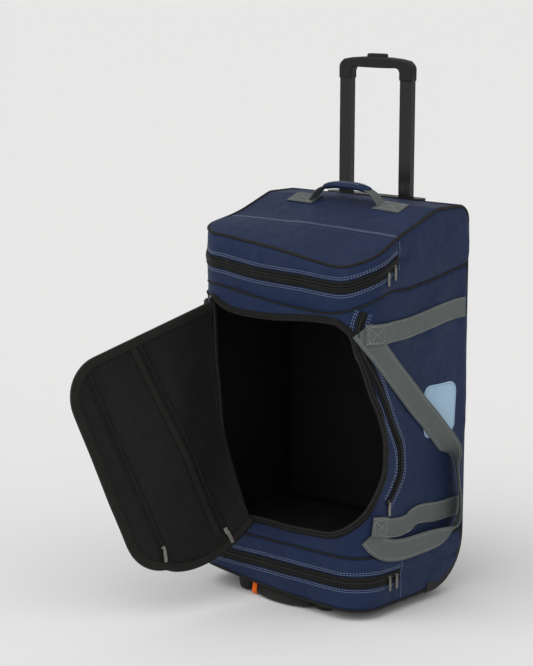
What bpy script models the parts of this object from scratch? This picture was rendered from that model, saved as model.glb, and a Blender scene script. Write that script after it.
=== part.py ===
"""Rolling duffel bag on two wheels, standing upright with its front flap hanging open.

Metres, +Z up. The front of the bag, with the flap, faces -Y and the trolley handle is at +Y. The
drawing coordinates put X = 0 on the bag's middle plane and Z = 0 on the floor. The empty "bag" then
moves everything back by BAG_Y, so that the origin lies under the middle of the whole object.
"""

import math

import bmesh
import bpy
from mathutils import Matrix, Vector

# Soft body
BODY_WIDTH = 0.430
FRONT_Y = -0.150
REAR_Y = 0.170
BODY_BOTTOM_Z = 0.022
POD_FLOOR_Z = 0.125
FRONT_TOP_Z = 0.700
REAR_TOP_Z = 0.780
TOP_BREAK_Y = 0.070
DIVIDER_FRONT_Z = 0.600
DIVIDER_REAR_Z = 0.665
FRONT_RADIUS = 0.060
REAR_RADIUS = 0.040
TOP_REAR_RADIUS = 0.030
LOW_REAR_RADIUS = 0.100
WALL = 0.004
GAP = 0.0004
BAG_Y = 0.1610

# Zips and the lid of the top pocket
LID_Y = -0.055
LID_ZIP_Z = 0.652
LID_ZIP_SLOPE = 0.45
LOW_ZIP_Z = 0.0765
LOW_ZIP_END_Y = -0.037
ZIP_HEIGHT = 0.012
ZIP_DEPTH = 0.0016

# Front opening and flap
OPEN_TOP_Z = 0.573
OPEN_BOTTOM_Z = 0.165
CORNER_CUT_Y = -0.090
FLAP_TILT = math.radians(13.4)
FLAP_OPEN = math.radians(104.0)
FLAP_TOP = Vector((-0.165, -0.1570, 0.585))
FLAP_BOTTOM_Z = 0.150
FLAP_EDGE_X = 0.208
FLAP_RADIUS = 0.070
FLAP_THICKNESS = 0.005
BINDING_WIDTH = 0.006
BINDING_THICKNESS = 0.007
FLAP_ZIP = ((0.152, 0.552), (0.142, 0.184))

# Back panel and trolley handle
BOARD_FRONT_Y = 0.1268
BOARD_THICKNESS = 0.003
TUBE_X = 0.0765
TUBE_Y = 0.150
TUBE_SECTION = (0.029, 0.013)
SLEEVE_SECTION = (0.033, 0.017)
TUBE_WALL = 0.0012
SLEEVE_BOTTOM_Z = 0.1285
TUBE_BOTTOM_Z = 0.600
TUBE_TOP_Z = 1.035
GRIP_LOW_Z = 1.015
GRIP_BAR_Z = 1.038
GRIP_TOP_Z = 1.0610
GRIP_HALF = 0.0955
GRIP_DEPTH = 0.024
BUTTON_HALF = 0.022
BUTTON_PROUD = 0.006
BUTTON_TRAVEL = 0.004

# Wheels and feet
WHEEL_RADIUS = 0.045
WHEEL_WIDTH = 0.028
WHEEL_X = 0.167
WHEEL_Y = 0.118
AXLE_RADIUS = 0.004
AXLE_CLEARANCE = 0.0003
HOUSING_INNER_X = 0.145
HOUSING_OUTER_X = 0.2085
HOUSING_FRONT_Y = 0.055
HOUSING_REAR_Y = 0.174
HOUSING_LOW_Z = 0.016
HOUSING_TOP_Z = 0.112
CHEEK = 0.004
FOOT_X = 0.100
FOOT_Y = -0.116

# Webbing
WEBBING = 0.040
WEBBING_THICKNESS = 0.0022
HANDLE_X = 0.008
HANDLE_Y = 0.049
HANDLE_AXIS_Z = 0.7815
HANDLE_HALF = 0.085
HANDLE_RISE = 0.036
HANDLE_STRAP_HALF = 0.143

LOW_HANDLE_AXIS = (0.010, -0.120, 0.0125)
LOW_HANDLE_HALF = 0.070
LOW_HANDLE_WIDE = 0.012
LOW_HANDLE_THICK = 0.0016
LOW_HANDLE_BOW = 0.012
LOW_HANDLE_SAG = 0.0070

# Shared by the pieces' construction
CORNERS = ((-1, -1), (1, -1), (1, 1), (-1, 1))
CUTTER_HALF = 0.3
CUTTER_TOP_Z = 0.90
SLIT_HALF = 0.145

COLOURS = {
    "navy_fabric": ((0.016, 0.028, 0.088), 0.72, 0.0),
    "black_lining": ((0.008, 0.008, 0.009), 0.80, 0.0),
    "grey_webbing": ((0.105, 0.120, 0.120), 0.75, 0.0),
    "black_binding": ((0.016, 0.015, 0.014), 0.65, 0.0),
    "black_zip": ((0.010, 0.010, 0.011), 0.55, 0.0),
    "black_plastic": ((0.018, 0.018, 0.019), 0.45, 0.0),
    "rubber": ((0.020, 0.020, 0.020), 0.85, 0.0),
    "black_tube": ((0.012, 0.012, 0.012), 0.22, 0.6),
    "gunmetal": ((0.180, 0.175, 0.165), 0.30, 1.0),
    "steel": ((0.500, 0.500, 0.500), 0.30, 1.0),
    "orange": ((0.800, 0.120, 0.006), 0.60, 0.0),
}


# ---------------------------------------------------------------- helpers


def material(slot):
    """The Principled material of one colour slot, made once."""
    found = bpy.data.materials.get(slot)
    if found:
        return found
    colour, roughness, metallic = COLOURS[slot]
    made = bpy.data.materials.new(slot)
    made.use_nodes = True
    shader = made.node_tree.nodes["Principled BSDF"]
    shader.inputs["Base Color"].default_value = (*colour, 1.0)
    shader.inputs["Roughness"].default_value = roughness
    shader.inputs["Metallic"].default_value = metallic
    return made


def empty(name, location=(0, 0, 0), rotation=None, parent=None):
    """An empty that carries a moving piece at its joint."""
    holder = bpy.data.objects.new(name, None)
    bpy.context.collection.objects.link(holder)
    holder.empty_display_size = 0.02
    holder.location = location
    if rotation is not None:
        holder.rotation_mode = "QUATERNION"
        holder.rotation_quaternion = rotation
    holder.parent = parent
    return holder


def finish(name, mesh_builder, slot, parent, location=(0, 0, 0), smooth=True):
    """Turns a bmesh into a named object under its parent."""
    bmesh.ops.recalc_face_normals(mesh_builder, faces=mesh_builder.faces)
    mesh = bpy.data.meshes.new(name)
    mesh_builder.to_mesh(mesh)
    mesh_builder.free()
    if smooth:
        mesh.shade_smooth()
        mesh.set_sharp_from_angle(angle=math.radians(35))
    piece = bpy.data.objects.new(name, mesh)
    bpy.context.collection.objects.link(piece)
    piece.location = location
    piece.parent = parent
    mesh.materials.append(material(slot))
    return piece


def cut(piece, cutter, operation="DIFFERENCE"):
    """Adds an exact Boolean to a piece; the cutter itself isn't part of the bag."""
    cutter.hide_render = True
    cutter.display_type = "WIRE"
    boolean = piece.modifiers.new(cutter.name, "BOOLEAN")
    boolean.operation = operation
    boolean.object = cutter
    boolean.solver = "EXACT"
    return boolean


def arc(centre, radius, start, end, steps):
    """Points on an arc, angles in degrees."""
    turns = (math.radians(start + (end - start) * i / steps) for i in range(steps + 1))
    return [(centre[0] + radius * math.cos(t), centre[1] + radius * math.sin(t)) for t in turns]


def bezier(p0, p1, p2, p3, steps):
    """Points on a cubic curve, both ends included."""
    points = []
    for i in range(steps + 1):
        t = i / steps
        weights = ((1 - t) ** 3, 3 * t * (1 - t) ** 2, 3 * t * t * (1 - t), t**3)
        points.append(tuple(sum(w * p[k] for w, p in zip(weights, (p0, p1, p2, p3))) for k in (0, 1)))
    return points


def add_box(mesh_builder, low, high):
    """Adds a closed box between two corners."""
    made = bmesh.ops.create_cube(mesh_builder, size=1.0)["verts"]
    size = Vector(high) - Vector(low)
    middle = (Vector(high) + Vector(low)) / 2
    for vert in made:
        vert.co = Vector(vert.co[k] * size[k] + middle[k] for k in range(3))
    return made


def box(name, low, high, slot, parent):
    mesh_builder = bmesh.new()
    add_box(mesh_builder, low, high)
    return finish(name, mesh_builder, slot, parent)


def add_prism(mesh_builder, outline, to_low, to_high):
    """Adds a closed prism: each end maps an outline point to a place in space."""
    low = [mesh_builder.verts.new(to_low(*p)) for p in outline]
    high = [mesh_builder.verts.new(to_high(*p)) for p in outline]
    mesh_builder.faces.new(low)
    mesh_builder.faces.new(high)
    for i in range(len(outline)):
        j = (i + 1) % len(outline)
        mesh_builder.faces.new((low[i], low[j], high[j], high[i]))


def prism(name, outline, to_low, to_high, slot, parent):
    mesh_builder = bmesh.new()
    add_prism(mesh_builder, outline, to_low, to_high)
    return finish(name, mesh_builder, slot, parent)


def add_sweep(mesh_builder, rings, closed=False):
    """Adds a closed solid through rings of equal length; an open sweep gets end caps."""
    rows = [[mesh_builder.verts.new(p) for p in ring] for ring in rings]
    count = len(rows[0])
    last = len(rows) if closed else len(rows) - 1
    for r in range(last):
        here, there = rows[r], rows[(r + 1) % len(rows)]
        for i in range(count):
            j = (i + 1) % count
            mesh_builder.faces.new((here[i], here[j], there[j], there[i]))
    if not closed:
        mesh_builder.faces.new(rows[0])
        mesh_builder.faces.new(rows[-1])


def add_turned(mesh_builder, profile, segments, centre, axis_x=True):
    """Adds a ring or a disc turned about an axis along X, or along Z."""
    rings = []
    for i in range(segments):
        turn = 2 * math.pi * i / segments
        ring = []
        for along, radius in profile:
            side, up = radius * math.cos(turn), radius * math.sin(turn)
            offset = (along, side, up) if axis_x else (side, up, along)
            ring.append(Vector(centre) + Vector(offset))
        rings.append(ring)
    add_sweep(mesh_builder, rings, closed=True)


def ribbon_rings(path, across, width, thickness):
    """Rectangular rings of a flat strap along a path; across gives its width direction."""
    rings = []
    for i, place in enumerate(path):
        before, after = path[max(i - 1, 0)], path[min(i + 1, len(path) - 1)]
        along = (Vector(after) - Vector(before)).normalized()
        wide = Vector(across[i])
        wide = (wide - along * wide.dot(along)).normalized()
        thick = along.cross(wide)
        corners = ((-1, -1), (1, -1), (1, 1), (-1, 1))
        ring = []
        for a, b in corners:
            ring.append(Vector(place) + wide * (a * width / 2) + thick * (b * thickness / 2))
        rings.append(ring)
    return rings


# ------------------------------------------------------- the body's outer form


def top_height(y):
    """Height of the top panel: it falls towards the front."""
    if y > REAR_Y - TOP_REAR_RADIUS:
        drop = y - (REAR_Y - TOP_REAR_RADIUS)
        drop = min(drop, TOP_REAR_RADIUS * 0.96)
        return REAR_TOP_Z - TOP_REAR_RADIUS + math.sqrt(TOP_REAR_RADIUS**2 - drop**2)
    rise = (y - FRONT_Y) / (TOP_BREAK_Y - FRONT_Y)
    return FRONT_TOP_Z + (REAR_TOP_Z - FRONT_TOP_Z) * min(rise, 1.0)


def bottom_height(y):
    """Height of the underside: it curves up at the rear, over the wheels."""
    reach = y - (REAR_Y - LOW_REAR_RADIUS)
    if reach <= 0:
        return BODY_BOTTOM_Z
    reach = min(reach, LOW_REAR_RADIUS * 0.98)
    return BODY_BOTTOM_Z + LOW_REAR_RADIUS - math.sqrt(LOW_REAR_RADIUS**2 - reach**2)


def divider_height(y):
    """Height of the seam between the main compartment and the top pocket."""
    share = (y - FRONT_Y) / (REAR_Y - FRONT_Y)
    return DIVIDER_FRONT_Z + (DIVIDER_REAR_Z - DIVIDER_FRONT_Z) * share


def lid_zip_height(y):
    return LID_ZIP_Z + LID_ZIP_SLOPE * (y - FRONT_Y)


def half_width(y, inset=0.0):
    """Half of the body's width at a depth, with its rounded upright corners."""
    front, rear = FRONT_RADIUS, REAR_RADIUS
    full = BODY_WIDTH / 2
    if y < FRONT_Y + front:
        deep = min(front - inset, FRONT_Y + front - y)
        return full - front + math.sqrt(max((front - inset) ** 2 - deep**2, 0.0))
    if y > REAR_Y - rear:
        deep = min(rear - inset, y - (REAR_Y - rear))
        return full - rear + math.sqrt(max((rear - inset) ** 2 - deep**2, 0.0))
    return full - inset


def depths(front, rear, inset=0.0):
    """Depths of the cross lines that the body's solids are built on, front to rear."""
    front_bend, rear_bend = FRONT_RADIUS - inset, REAR_RADIUS - inset
    corner = [FRONT_Y + FRONT_RADIUS - front_bend * math.cos(math.radians(a)) for a in range(0, 91, 10)]
    middle = [TOP_BREAK_Y + 0.0001, 0.090, 0.110]
    back = [REAR_Y - REAR_RADIUS + rear_bend * math.sin(math.radians(a)) for a in range(0, 91, 15)]
    every = [front, rear]
    for y in corner + middle + back:
        if all(abs(y - other) > 0.0015 for other in every) and front < y < rear:
            every.append(y)
    return sorted(every)


def add_block(mesh_builder, front, rear, low, high, inset=0.0, flip=False):
    """Adds a solid that fills the body's plan between two depths and two heights."""
    rungs = []
    for y in depths(front, rear, inset):
        x = half_width(y, inset)
        rungs.append([mesh_builder.verts.new((s * x, y, z)) for z in (low(y), high(y)) for s in (-1, 1)])
    faces = [(rungs[0][0], rungs[0][1], rungs[0][3], rungs[0][2])]
    faces.append((rungs[-1][1], rungs[-1][0], rungs[-1][2], rungs[-1][3]))
    for a, b in zip(rungs, rungs[1:]):
        faces.append((a[1], a[0], b[0], b[1]))
        faces.append((a[2], a[3], b[3], b[2]))
        faces.append((a[0], a[2], b[2], b[0]))
        faces.append((a[3], a[1], b[1], b[3]))
    for corners in faces:
        mesh_builder.faces.new(corners[::-1] if flip else corners)


def add_shell(mesh_builder, front, rear, low, high, inset, wall):
    """Adds a hollow body: an outer skin and an inner one that faces the other way."""
    add_block(
        mesh_builder, front + inset, rear - inset, lambda y: low(y) + inset, lambda y: high(y) - inset, inset
    )
    deep = inset + wall
    add_block(
        mesh_builder,
        front + deep,
        rear - deep,
        lambda y: low(y) + deep,
        lambda y: high(y) - deep,
        deep,
        flip=True,
    )


def shell(name, front, rear, low, high, slot, parent, inset=0.0, wall=WALL):
    """A hollow body whose skins keep their own facing."""
    mesh_builder = bmesh.new()
    add_shell(mesh_builder, front, rear, low, high, inset, wall)
    mesh = bpy.data.meshes.new(name)
    mesh_builder.to_mesh(mesh)
    mesh_builder.free()
    mesh.shade_smooth()
    mesh.set_sharp_from_angle(angle=math.radians(35))
    mesh.materials.append(material(slot))
    piece = bpy.data.objects.new(name, mesh)
    bpy.context.collection.objects.link(piece)
    piece.parent = parent
    return piece


# ---------------------------------------------------------------- soft body


def opening_outline():
    """The front opening seen from the front: a slanting hinge side and a bowed free side."""
    lean = math.tan(FLAP_TILT)
    low, high = OPEN_BOTTOM_Z, OPEN_TOP_Z
    clear = 0.016
    left_low = FLAP_TOP.x + (FLAP_TOP.z - low) * lean + clear
    left_high = FLAP_TOP.x + (FLAP_TOP.z - high) * lean + clear
    bow = bezier((0.130, high), (0.250, high - 0.013), (0.270, low), (0.120, low), 16)
    return [(left_low, low), (left_high, high)] + bow


def opening_cutter(parent):
    return prism(
        "opening_cutter",
        opening_outline(),
        lambda x, z: (x, FRONT_Y - 0.02, z),
        lambda x, z: (x, CORNER_CUT_Y, z),
        "black_lining",
        parent,
    )


def main_compartment(bag):
    """Main shell with its D-shaped opening, and the lining inside it."""
    pods_rear = BOARD_FRONT_Y - GAP
    low = lambda y: POD_FLOOR_Z + GAP
    high = lambda y: divider_height(y) - GAP
    main = shell("main_shell", FRONT_Y, pods_rear, low, high, "navy_fabric", bag)
    lining = shell(
        "main_lining", FRONT_Y, pods_rear, low, high, "black_lining", bag, inset=WALL + GAP, wall=0.0014
    )
    cutter = opening_cutter(bag)
    cut(main, cutter)
    cut(lining, cutter)
    return main


def lid_wedge(name, margin, parent):
    """The space in front of the lid's hinge and above its zip, as a cutter."""
    start, end = FRONT_Y - 0.05, LID_Y - margin
    outline = [(start, lid_zip_height(start) + margin), (end, lid_zip_height(end) + margin)]
    outline += [(end, CUTTER_TOP_Z), (start, CUTTER_TOP_Z)]
    left, right = lambda y, z: (-CUTTER_HALF, y, z), lambda y, z: (CUTTER_HALF, y, z)
    return prism(name, outline, left, right, "navy_fabric", parent)


def top_pocket(bag, lid_hinge):
    """Fixed part of the top pocket, and its hinged front lid."""
    pods_rear = BOARD_FRONT_Y - GAP
    low = lambda y: divider_height(y) + GAP
    fixed = shell("top_shell", FRONT_Y, pods_rear, low, top_height, "navy_fabric", bag)
    cut(fixed, lid_wedge("lid_space", 0.0, bag))
    lid = shell("top_lid", FRONT_Y, pods_rear, low, top_height, "navy_fabric", lid_hinge)
    lid.location = -lid_hinge.location
    cut(lid, lid_wedge("lid_keep", 0.0006, bag), "INTERSECT")
    return fixed, lid


def housing_space(side, parent):
    """The space that a wheel housing takes out of the soft body."""
    inner, outer = HOUSING_INNER_X - 0.006, HOUSING_OUTER_X + 0.0006
    low = (inner if side > 0 else -outer, HOUSING_FRONT_Y - 0.001, -0.01)
    high = (outer if side > 0 else -inner, REAR_Y + 0.02, HOUSING_TOP_Z + 0.0006)
    return box(f"housing_space_{side_name(side)}", low, high, "black_plastic", parent)


def side_name(side):
    return "right" if side > 0 else "left"


def bottom_pocket(bag, spaces):
    """Shoe pocket below the main compartment, with the slit that its zip closes."""
    low = bottom_height
    high = lambda y: POD_FLOOR_Z - GAP
    pocket = shell("bottom_shell", FRONT_Y, BOARD_FRONT_Y - GAP, low, high, "navy_fabric", bag)
    slit_low, slit_high = LOW_ZIP_Z - 0.004, LOW_ZIP_Z + 0.004
    low, high = (-SLIT_HALF, FRONT_Y - 0.01, slit_low), (SLIT_HALF, FRONT_Y + 0.03, slit_high)
    slit = box("low_zip_slit", low, high, "black_zip", bag)
    cut(pocket, slit)
    for space in spaces:
        cut(pocket, space)
    return pocket


def back_cover(bag, spaces):
    """Padded tray behind the stiff board; it hides the trolley's sleeves."""
    front = BOARD_FRONT_Y + BOARD_THICKNESS + GAP
    mesh_builder = bmesh.new()
    add_block(mesh_builder, front, REAR_Y, bottom_height, top_height)
    cover = finish("back_cover", mesh_builder, "navy_fabric", bag)
    hollow = bmesh.new()
    inner_low = lambda y: SLEEVE_BOTTOM_Z - GAP
    inner_high = lambda y: top_height(y) - WALL - 0.003
    add_block(hollow, front - 0.02, REAR_Y - WALL - 0.001, inner_low, inner_high, WALL + 0.004)
    cut(cover, finish("tray_hollow", hollow, "navy_fabric", bag))
    for side in (-1, 1):
        wide, deep = (SLEEVE_SECTION[0] + 2 * GAP) / 2, (SLEEVE_SECTION[1] + 2 * GAP) / 2
        x = side * TUBE_X
        slot = box(
            f"sleeve_slot_{side_name(side)}",
            (x - wide, TUBE_Y - deep, 0.70),
            (x + wide, TUBE_Y + deep, 0.80),
            "navy_fabric",
            bag,
        )
        cut(cover, slot)
    for space in spaces:
        cut(cover, space)
    return cover


def back_board(bag):
    """Stiff board between the compartments and the trolley."""
    low = (-0.196, BOARD_FRONT_Y, HOUSING_TOP_Z + 0.012)
    high = (0.196, BOARD_FRONT_Y + BOARD_THICKNESS, REAR_TOP_Z - 0.012)
    return box("back_board", low, high, "black_plastic", bag)


def base_tray(bag):
    """Moulded tray under the body; the feet sit on it."""
    mesh_builder = bmesh.new()
    top = BODY_BOTTOM_Z - GAP
    add_block(
        mesh_builder, FRONT_Y + 0.010, HOUSING_FRONT_Y - 0.002, lambda y: top - 0.005, lambda y: top, 0.010
    )
    return finish("base_tray", mesh_builder, "black_plastic", bag)


def perimeter(offset, start_y, end_y):
    """Points round the front of the body, from the left side to the right, offset outwards."""
    x, radius = BODY_WIDTH / 2 + offset, FRONT_RADIUS + offset
    centre_y = FRONT_Y + FRONT_RADIUS
    inner = BODY_WIDTH / 2 - FRONT_RADIUS
    left = arc((-inner, centre_y), radius, 180, 270, 9)
    right = arc((inner, centre_y), radius, 270, 360, 9)
    ends = [(-x, start_y)], [(x, end_y)]
    return ends[0] + left + right + ends[1]


def add_band(mesh_builder, offset, thickness, height, low, start_y, end_y):
    """Adds a strip round the front of the body that follows a height."""
    inside, outside = perimeter(offset, start_y, end_y), perimeter(offset + thickness, start_y, end_y)
    rings = []
    for (xi, yi), (xo, yo) in zip(inside, outside):
        z = low(yi)
        ring = ((xi, yi, z), (xo, yo, z), (xo, yo, z + height), (xi, yi, z + height))
        rings.append([Vector(p) for p in ring])
    add_sweep(mesh_builder, rings)


def zip_tapes(bag):
    """Zip tapes of the top and the bottom pocket, sewn on round the front."""
    upper = bmesh.new()
    below = 0.0010 + ZIP_HEIGHT
    add_band(upper, GAP, ZIP_DEPTH, ZIP_HEIGHT, lambda y: lid_zip_height(y) - below, LID_Y, LID_Y)
    finish("zip_top", upper, "black_zip", bag)
    lower = bmesh.new()
    start = LOW_ZIP_Z - ZIP_HEIGHT / 2
    add_band(lower, GAP, ZIP_DEPTH, ZIP_HEIGHT, lambda y: start, LOW_ZIP_END_Y, LOW_ZIP_END_Y)
    finish("zip_bottom", lower, "black_zip", bag)


def piping(bag):
    """Corded seams above and below the main compartment."""
    upper, lower = bmesh.new(), bmesh.new()
    add_band(upper, GAP, 0.003, 0.004, lambda y: divider_height(y) - 0.002, 0.115, 0.115)
    add_band(lower, GAP, 0.003, 0.004, lambda y: POD_FLOOR_Z - 0.002, 0.115, 0.115)
    finish("piping_upper", upper, "black_binding", bag)
    finish("piping_lower", lower, "black_binding", bag)


def side_zip_path():
    """Middle line of the side pocket's zip on the right side, as (y, z)."""
    upper = bezier((-0.088, 0.425), (-0.050, 0.365), (-0.028, 0.330), (-0.033, 0.290), 8)
    lower = bezier((-0.033, 0.290), (-0.036, 0.262), (-0.058, 0.243), (-0.080, 0.221), 6)
    return upper + lower[1:]


def side_zip(bag):
    """Zip tape of the flat side pocket."""
    x = BODY_WIDTH / 2 + GAP + ZIP_DEPTH / 2
    path = [Vector((x, y, z)) for y, z in side_zip_path()]
    across = []
    for i in range(len(path)):
        along = path[min(i + 1, len(path) - 1)] - path[max(i - 1, 0)]
        across.append(along.cross(Vector((1, 0, 0))))
    mesh_builder = bmesh.new()
    add_sweep(mesh_builder, ribbon_rings(path, across, ZIP_HEIGHT, ZIP_DEPTH))
    return finish("zip_side", mesh_builder, "black_zip", bag)


# ---------------------------------------------------------------- webbing


def sewn_straps(side, bag):
    """The two flat straps sewn along one side of the body."""
    x = side * (BODY_WIDTH / 2 + GAP + WEBBING_THICKNESS / 2)
    for name, front_z, rear_z in (("upper", 0.5590, 0.5800), ("lower", 0.1870, 0.1870)):
        path = [Vector((x, -0.088 + 0.216 * t, front_z + (rear_z - front_z) * t)) for t in (0, 0.5, 1)]
        strap = bmesh.new()
        add_sweep(strap, ribbon_rings(path, [(0, 0, 1)] * 3, WEBBING, WEBBING_THICKNESS))
        finish(f"strap_{name}_{side_name(side)}", strap, "grey_webbing", bag)


def haul_path(side):
    """Middle line and width direction of a free haul loop: flat, then edge on at its rear turn."""
    rows = [
        # out from the side, y, z, width direction (out, y, z)
        (0.0065, -0.086, 0.5550, (0.0, 0.80, 0.60)),
        (0.0070, -0.070, 0.5200, (0.0, 0.83, 0.56)),
        (0.0085, -0.044, 0.4750, (0.0, 0.82, 0.57)),
        (0.0110, -0.005, 0.4200, (0.0, 0.80, 0.60)),
        (0.0150, 0.040, 0.3600, (0.1, 0.75, 0.65)),
        (0.0190, 0.078, 0.3150, (0.5, 0.60, 0.55)),
        (0.0240, 0.106, 0.2750, (0.9, 0.30, 0.20)),
        (0.0260, 0.122, 0.2350, (1.0, 0.08, 0.05)),
        (0.0260, 0.130, 0.1950, (1.0, 0.00, 0.00)),
        (0.0250, 0.124, 0.1550, (1.0, -0.05, 0.10)),
        (0.0220, 0.098, 0.1320, (0.8, -0.10, 0.60)),
        (0.0170, 0.060, 0.1280, (0.3, 0.00, 0.95)),
        (0.0120, 0.015, 0.1270, (0.1, 0.00, 1.00)),
        (0.0090, -0.030, 0.1290, (0.0, 0.10, 0.99)),
        (0.0070, -0.064, 0.1400, (0.0, 0.35, 0.94)),
        (0.0065, -0.082, 0.1560, (0.0, 0.70, 0.71)),
    ]
    base = BODY_WIDTH / 2
    path = [Vector((side * (base + out), y, z)) for out, y, z, _ in rows]
    across = [Vector((side * a, b, c)) for _, _, _, (a, b, c) in rows]
    return path, across


def haul_loop(side, hinge):
    """Long webbing loop that hangs against the side and swings out from it."""
    path, across = haul_path(side)
    path = [p - hinge.location for p in path]
    mesh_builder = bmesh.new()
    add_sweep(mesh_builder, ribbon_rings(path, across, WEBBING, WEBBING_THICKNESS))
    return finish(f"haul_loop_{side_name(side)}", mesh_builder, "grey_webbing", hinge)


def top_handle(bag, hinge):
    """Padded carry handle on the top panel, and the strap under it that is sewn down."""
    mesh_builder = bmesh.new()
    rings = []
    steps = 14
    for i in range(steps + 1):
        t = i / steps
        x = (2 * t - 1) * HANDLE_HALF
        lift = math.sin(math.pi * t) ** 0.55
        wide = 0.0035 + 0.0085 * min(1.0, 3.0 * min(t, 1 - t))
        thick = 0.0030 + 0.0035 * min(1.0, 3.0 * min(t, 1 - t))
        z = HANDLE_RISE * lift * 0.75
        ring = [Vector((x, wide * math.cos(a), z + thick * math.sin(a))) for a in turn_angles(10)]
        rings.append(ring)
    add_sweep(mesh_builder, rings)
    finish("top_handle", mesh_builder, "navy_fabric", hinge)
    front, rear = HANDLE_Y - WEBBING / 2, HANDLE_Y + WEBBING / 2
    outline = [(y, top_height(y) + GAP) for y in (front, rear)]
    outline += [(y, z + WEBBING_THICKNESS) for y, z in reversed(outline)]
    left, right = HANDLE_X - HANDLE_STRAP_HALF, HANDLE_X + HANDLE_STRAP_HALF
    prism(
        "top_handle_base",
        outline,
        lambda y, z: (left, y, z),
        lambda y, z: (right, y, z),
        "grey_webbing",
        bag,
    )


def turn_angles(count):
    return [2 * math.pi * i / count for i in range(count)]


def bottom_handle(bag, hinge):
    """Ribbed grab handle under the front edge, and its coloured end tab; both hang from their rear edge."""
    mesh_builder = bmesh.new()
    rings = []
    for i in range(13):
        t = i / 12
        bow = math.sin(math.pi * t)
        x = (2 * t - 1) * LOW_HANDLE_HALF
        centre = Vector((x, -LOW_HANDLE_WIDE - LOW_HANDLE_BOW * bow, -LOW_HANDLE_SAG * bow))
        rings.append([centre + Vector((0, a * LOW_HANDLE_WIDE, b * LOW_HANDLE_THICK)) for a, b in CORNERS])
    add_sweep(mesh_builder, rings)
    finish("bottom_handle", mesh_builder, "black_binding", hinge)
    low = Vector((-0.0785, -0.0250, -0.0090))
    high = Vector((-0.0708, 0.0010, 0.0020))
    return box("bottom_handle_tab", low, high, "orange", hinge)


# ---------------------------------------------------------------- flap


def flap_local(x, z, depth=0.0):
    """A point of the closed flap, measured from the top of its hinge line."""
    return Vector((x - FLAP_TOP.x, depth, z - FLAP_TOP.z))


def flap_outline(inset):
    """The closed flap seen from the front, with two rounded free corners."""
    lean = math.tan(FLAP_TILT)
    top, bottom, edge = FLAP_TOP.z - inset, FLAP_BOTTOM_Z + inset, FLAP_EDGE_X - inset
    radius = FLAP_RADIUS - inset
    root = 0.004
    outline = [(FLAP_TOP.x + (FLAP_TOP.z - bottom) * lean + root, bottom)]
    outline += arc((edge - radius, bottom + radius), radius, 270, 360, 8)
    outline += arc((edge - radius, top - radius), radius, 0, 90, 8)
    outline.append((FLAP_TOP.x + (FLAP_TOP.z - top) * lean + root, top))
    return outline


def flap(hinge):
    """Flap panel, its bound edge, and the pocket zip on its inner face."""
    half = FLAP_THICKNESS / 2
    prism(
        "flap_panel",
        flap_outline(BINDING_WIDTH + GAP),
        lambda x, z: flap_local(x, z, -half),
        lambda x, z: flap_local(x, z, half),
        "black_lining",
        hinge,
    )
    deep = BINDING_THICKNESS / 2
    rings = []
    for (xo, zo), (xi, zi) in zip(flap_outline(0), flap_outline(BINDING_WIDTH)):
        corners = ((xo, zo, -deep), (xo, zo, deep), (xi, zi, deep), (xi, zi, -deep))
        rings.append([flap_local(x, z, d) for x, z, d in corners])
    binding = bmesh.new()
    add_sweep(binding, rings)
    finish("flap_binding", binding, "black_binding", hinge)
    path = [flap_local(x, z, half + GAP + ZIP_DEPTH / 2) for x, z in FLAP_ZIP]
    tape = bmesh.new()
    add_sweep(tape, ribbon_rings(path, [(1, 0, 0)] * 2, ZIP_HEIGHT, ZIP_DEPTH))
    finish("flap_zip", tape, "black_zip", hinge)


# ---------------------------------------------------------------- trolley handle


def add_tube(mesh_builder, centre, section, wall, low, high):
    """Adds a rectangular tube that stands upright."""
    corners = ((-1, -1), (1, -1), (1, 1), (-1, 1))
    rings = []
    for z, shrink in ((low, 0.0), (high, 0.0), (high, wall), (low, wall)):
        wide, deep = section[0] / 2 - shrink, section[1] / 2 - shrink
        rings.append([Vector((centre[0] + a * wide, centre[1] + b * deep, z)) for a, b in corners])
    add_sweep(mesh_builder, rings, closed=True)


def trolley(bag, slide, button_slide):
    """Sleeves and top plate fixed in the back, and the sliding frame with its grip and button."""
    holes = []
    for side in (-1, 1):
        name = side_name(side)
        x = side * TUBE_X
        sleeve = bmesh.new()
        add_tube(sleeve, (x, TUBE_Y), SLEEVE_SECTION, TUBE_WALL, SLEEVE_BOTTOM_Z, REAR_TOP_Z - 0.0002)
        finish(f"sleeve_{name}", sleeve, "steel", bag)
        tube = bmesh.new()
        add_tube(tube, (x, TUBE_Y), TUBE_SECTION, TUBE_WALL, TUBE_BOTTOM_Z, TUBE_TOP_Z)
        finish(f"tube_{name}", tube, "black_tube", slide)
        lock_block(f"lock_block_{name}", x, slide)
        holes.append(x)
    bezel(bag, holes)
    grip(slide)
    button_and_yoke(slide, button_slide)


def lock_block(name, x, slide):
    """Plug in a tube's lower end; its foot runs in the sleeve and holds the latch."""
    block = bmesh.new()
    inner = (TUBE_SECTION[0] / 2 - TUBE_WALL - GAP, TUBE_SECTION[1] / 2 - TUBE_WALL - GAP)
    foot = (SLEEVE_SECTION[0] / 2 - TUBE_WALL - 0.0005, SLEEVE_SECTION[1] / 2 - TUBE_WALL - 0.0005)
    levels = ((-0.014, foot), (-GAP, foot), (-GAP, inner), (0.030, inner))
    rings = []
    for rise, (wide, deep) in levels:
        z = TUBE_BOTTOM_Z + rise
        rings.append([Vector((x + a * wide, TUBE_Y + b * deep, z)) for a, b in CORNERS])
    add_sweep(block, rings)
    return finish(name, block, "black_plastic", slide)


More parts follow.
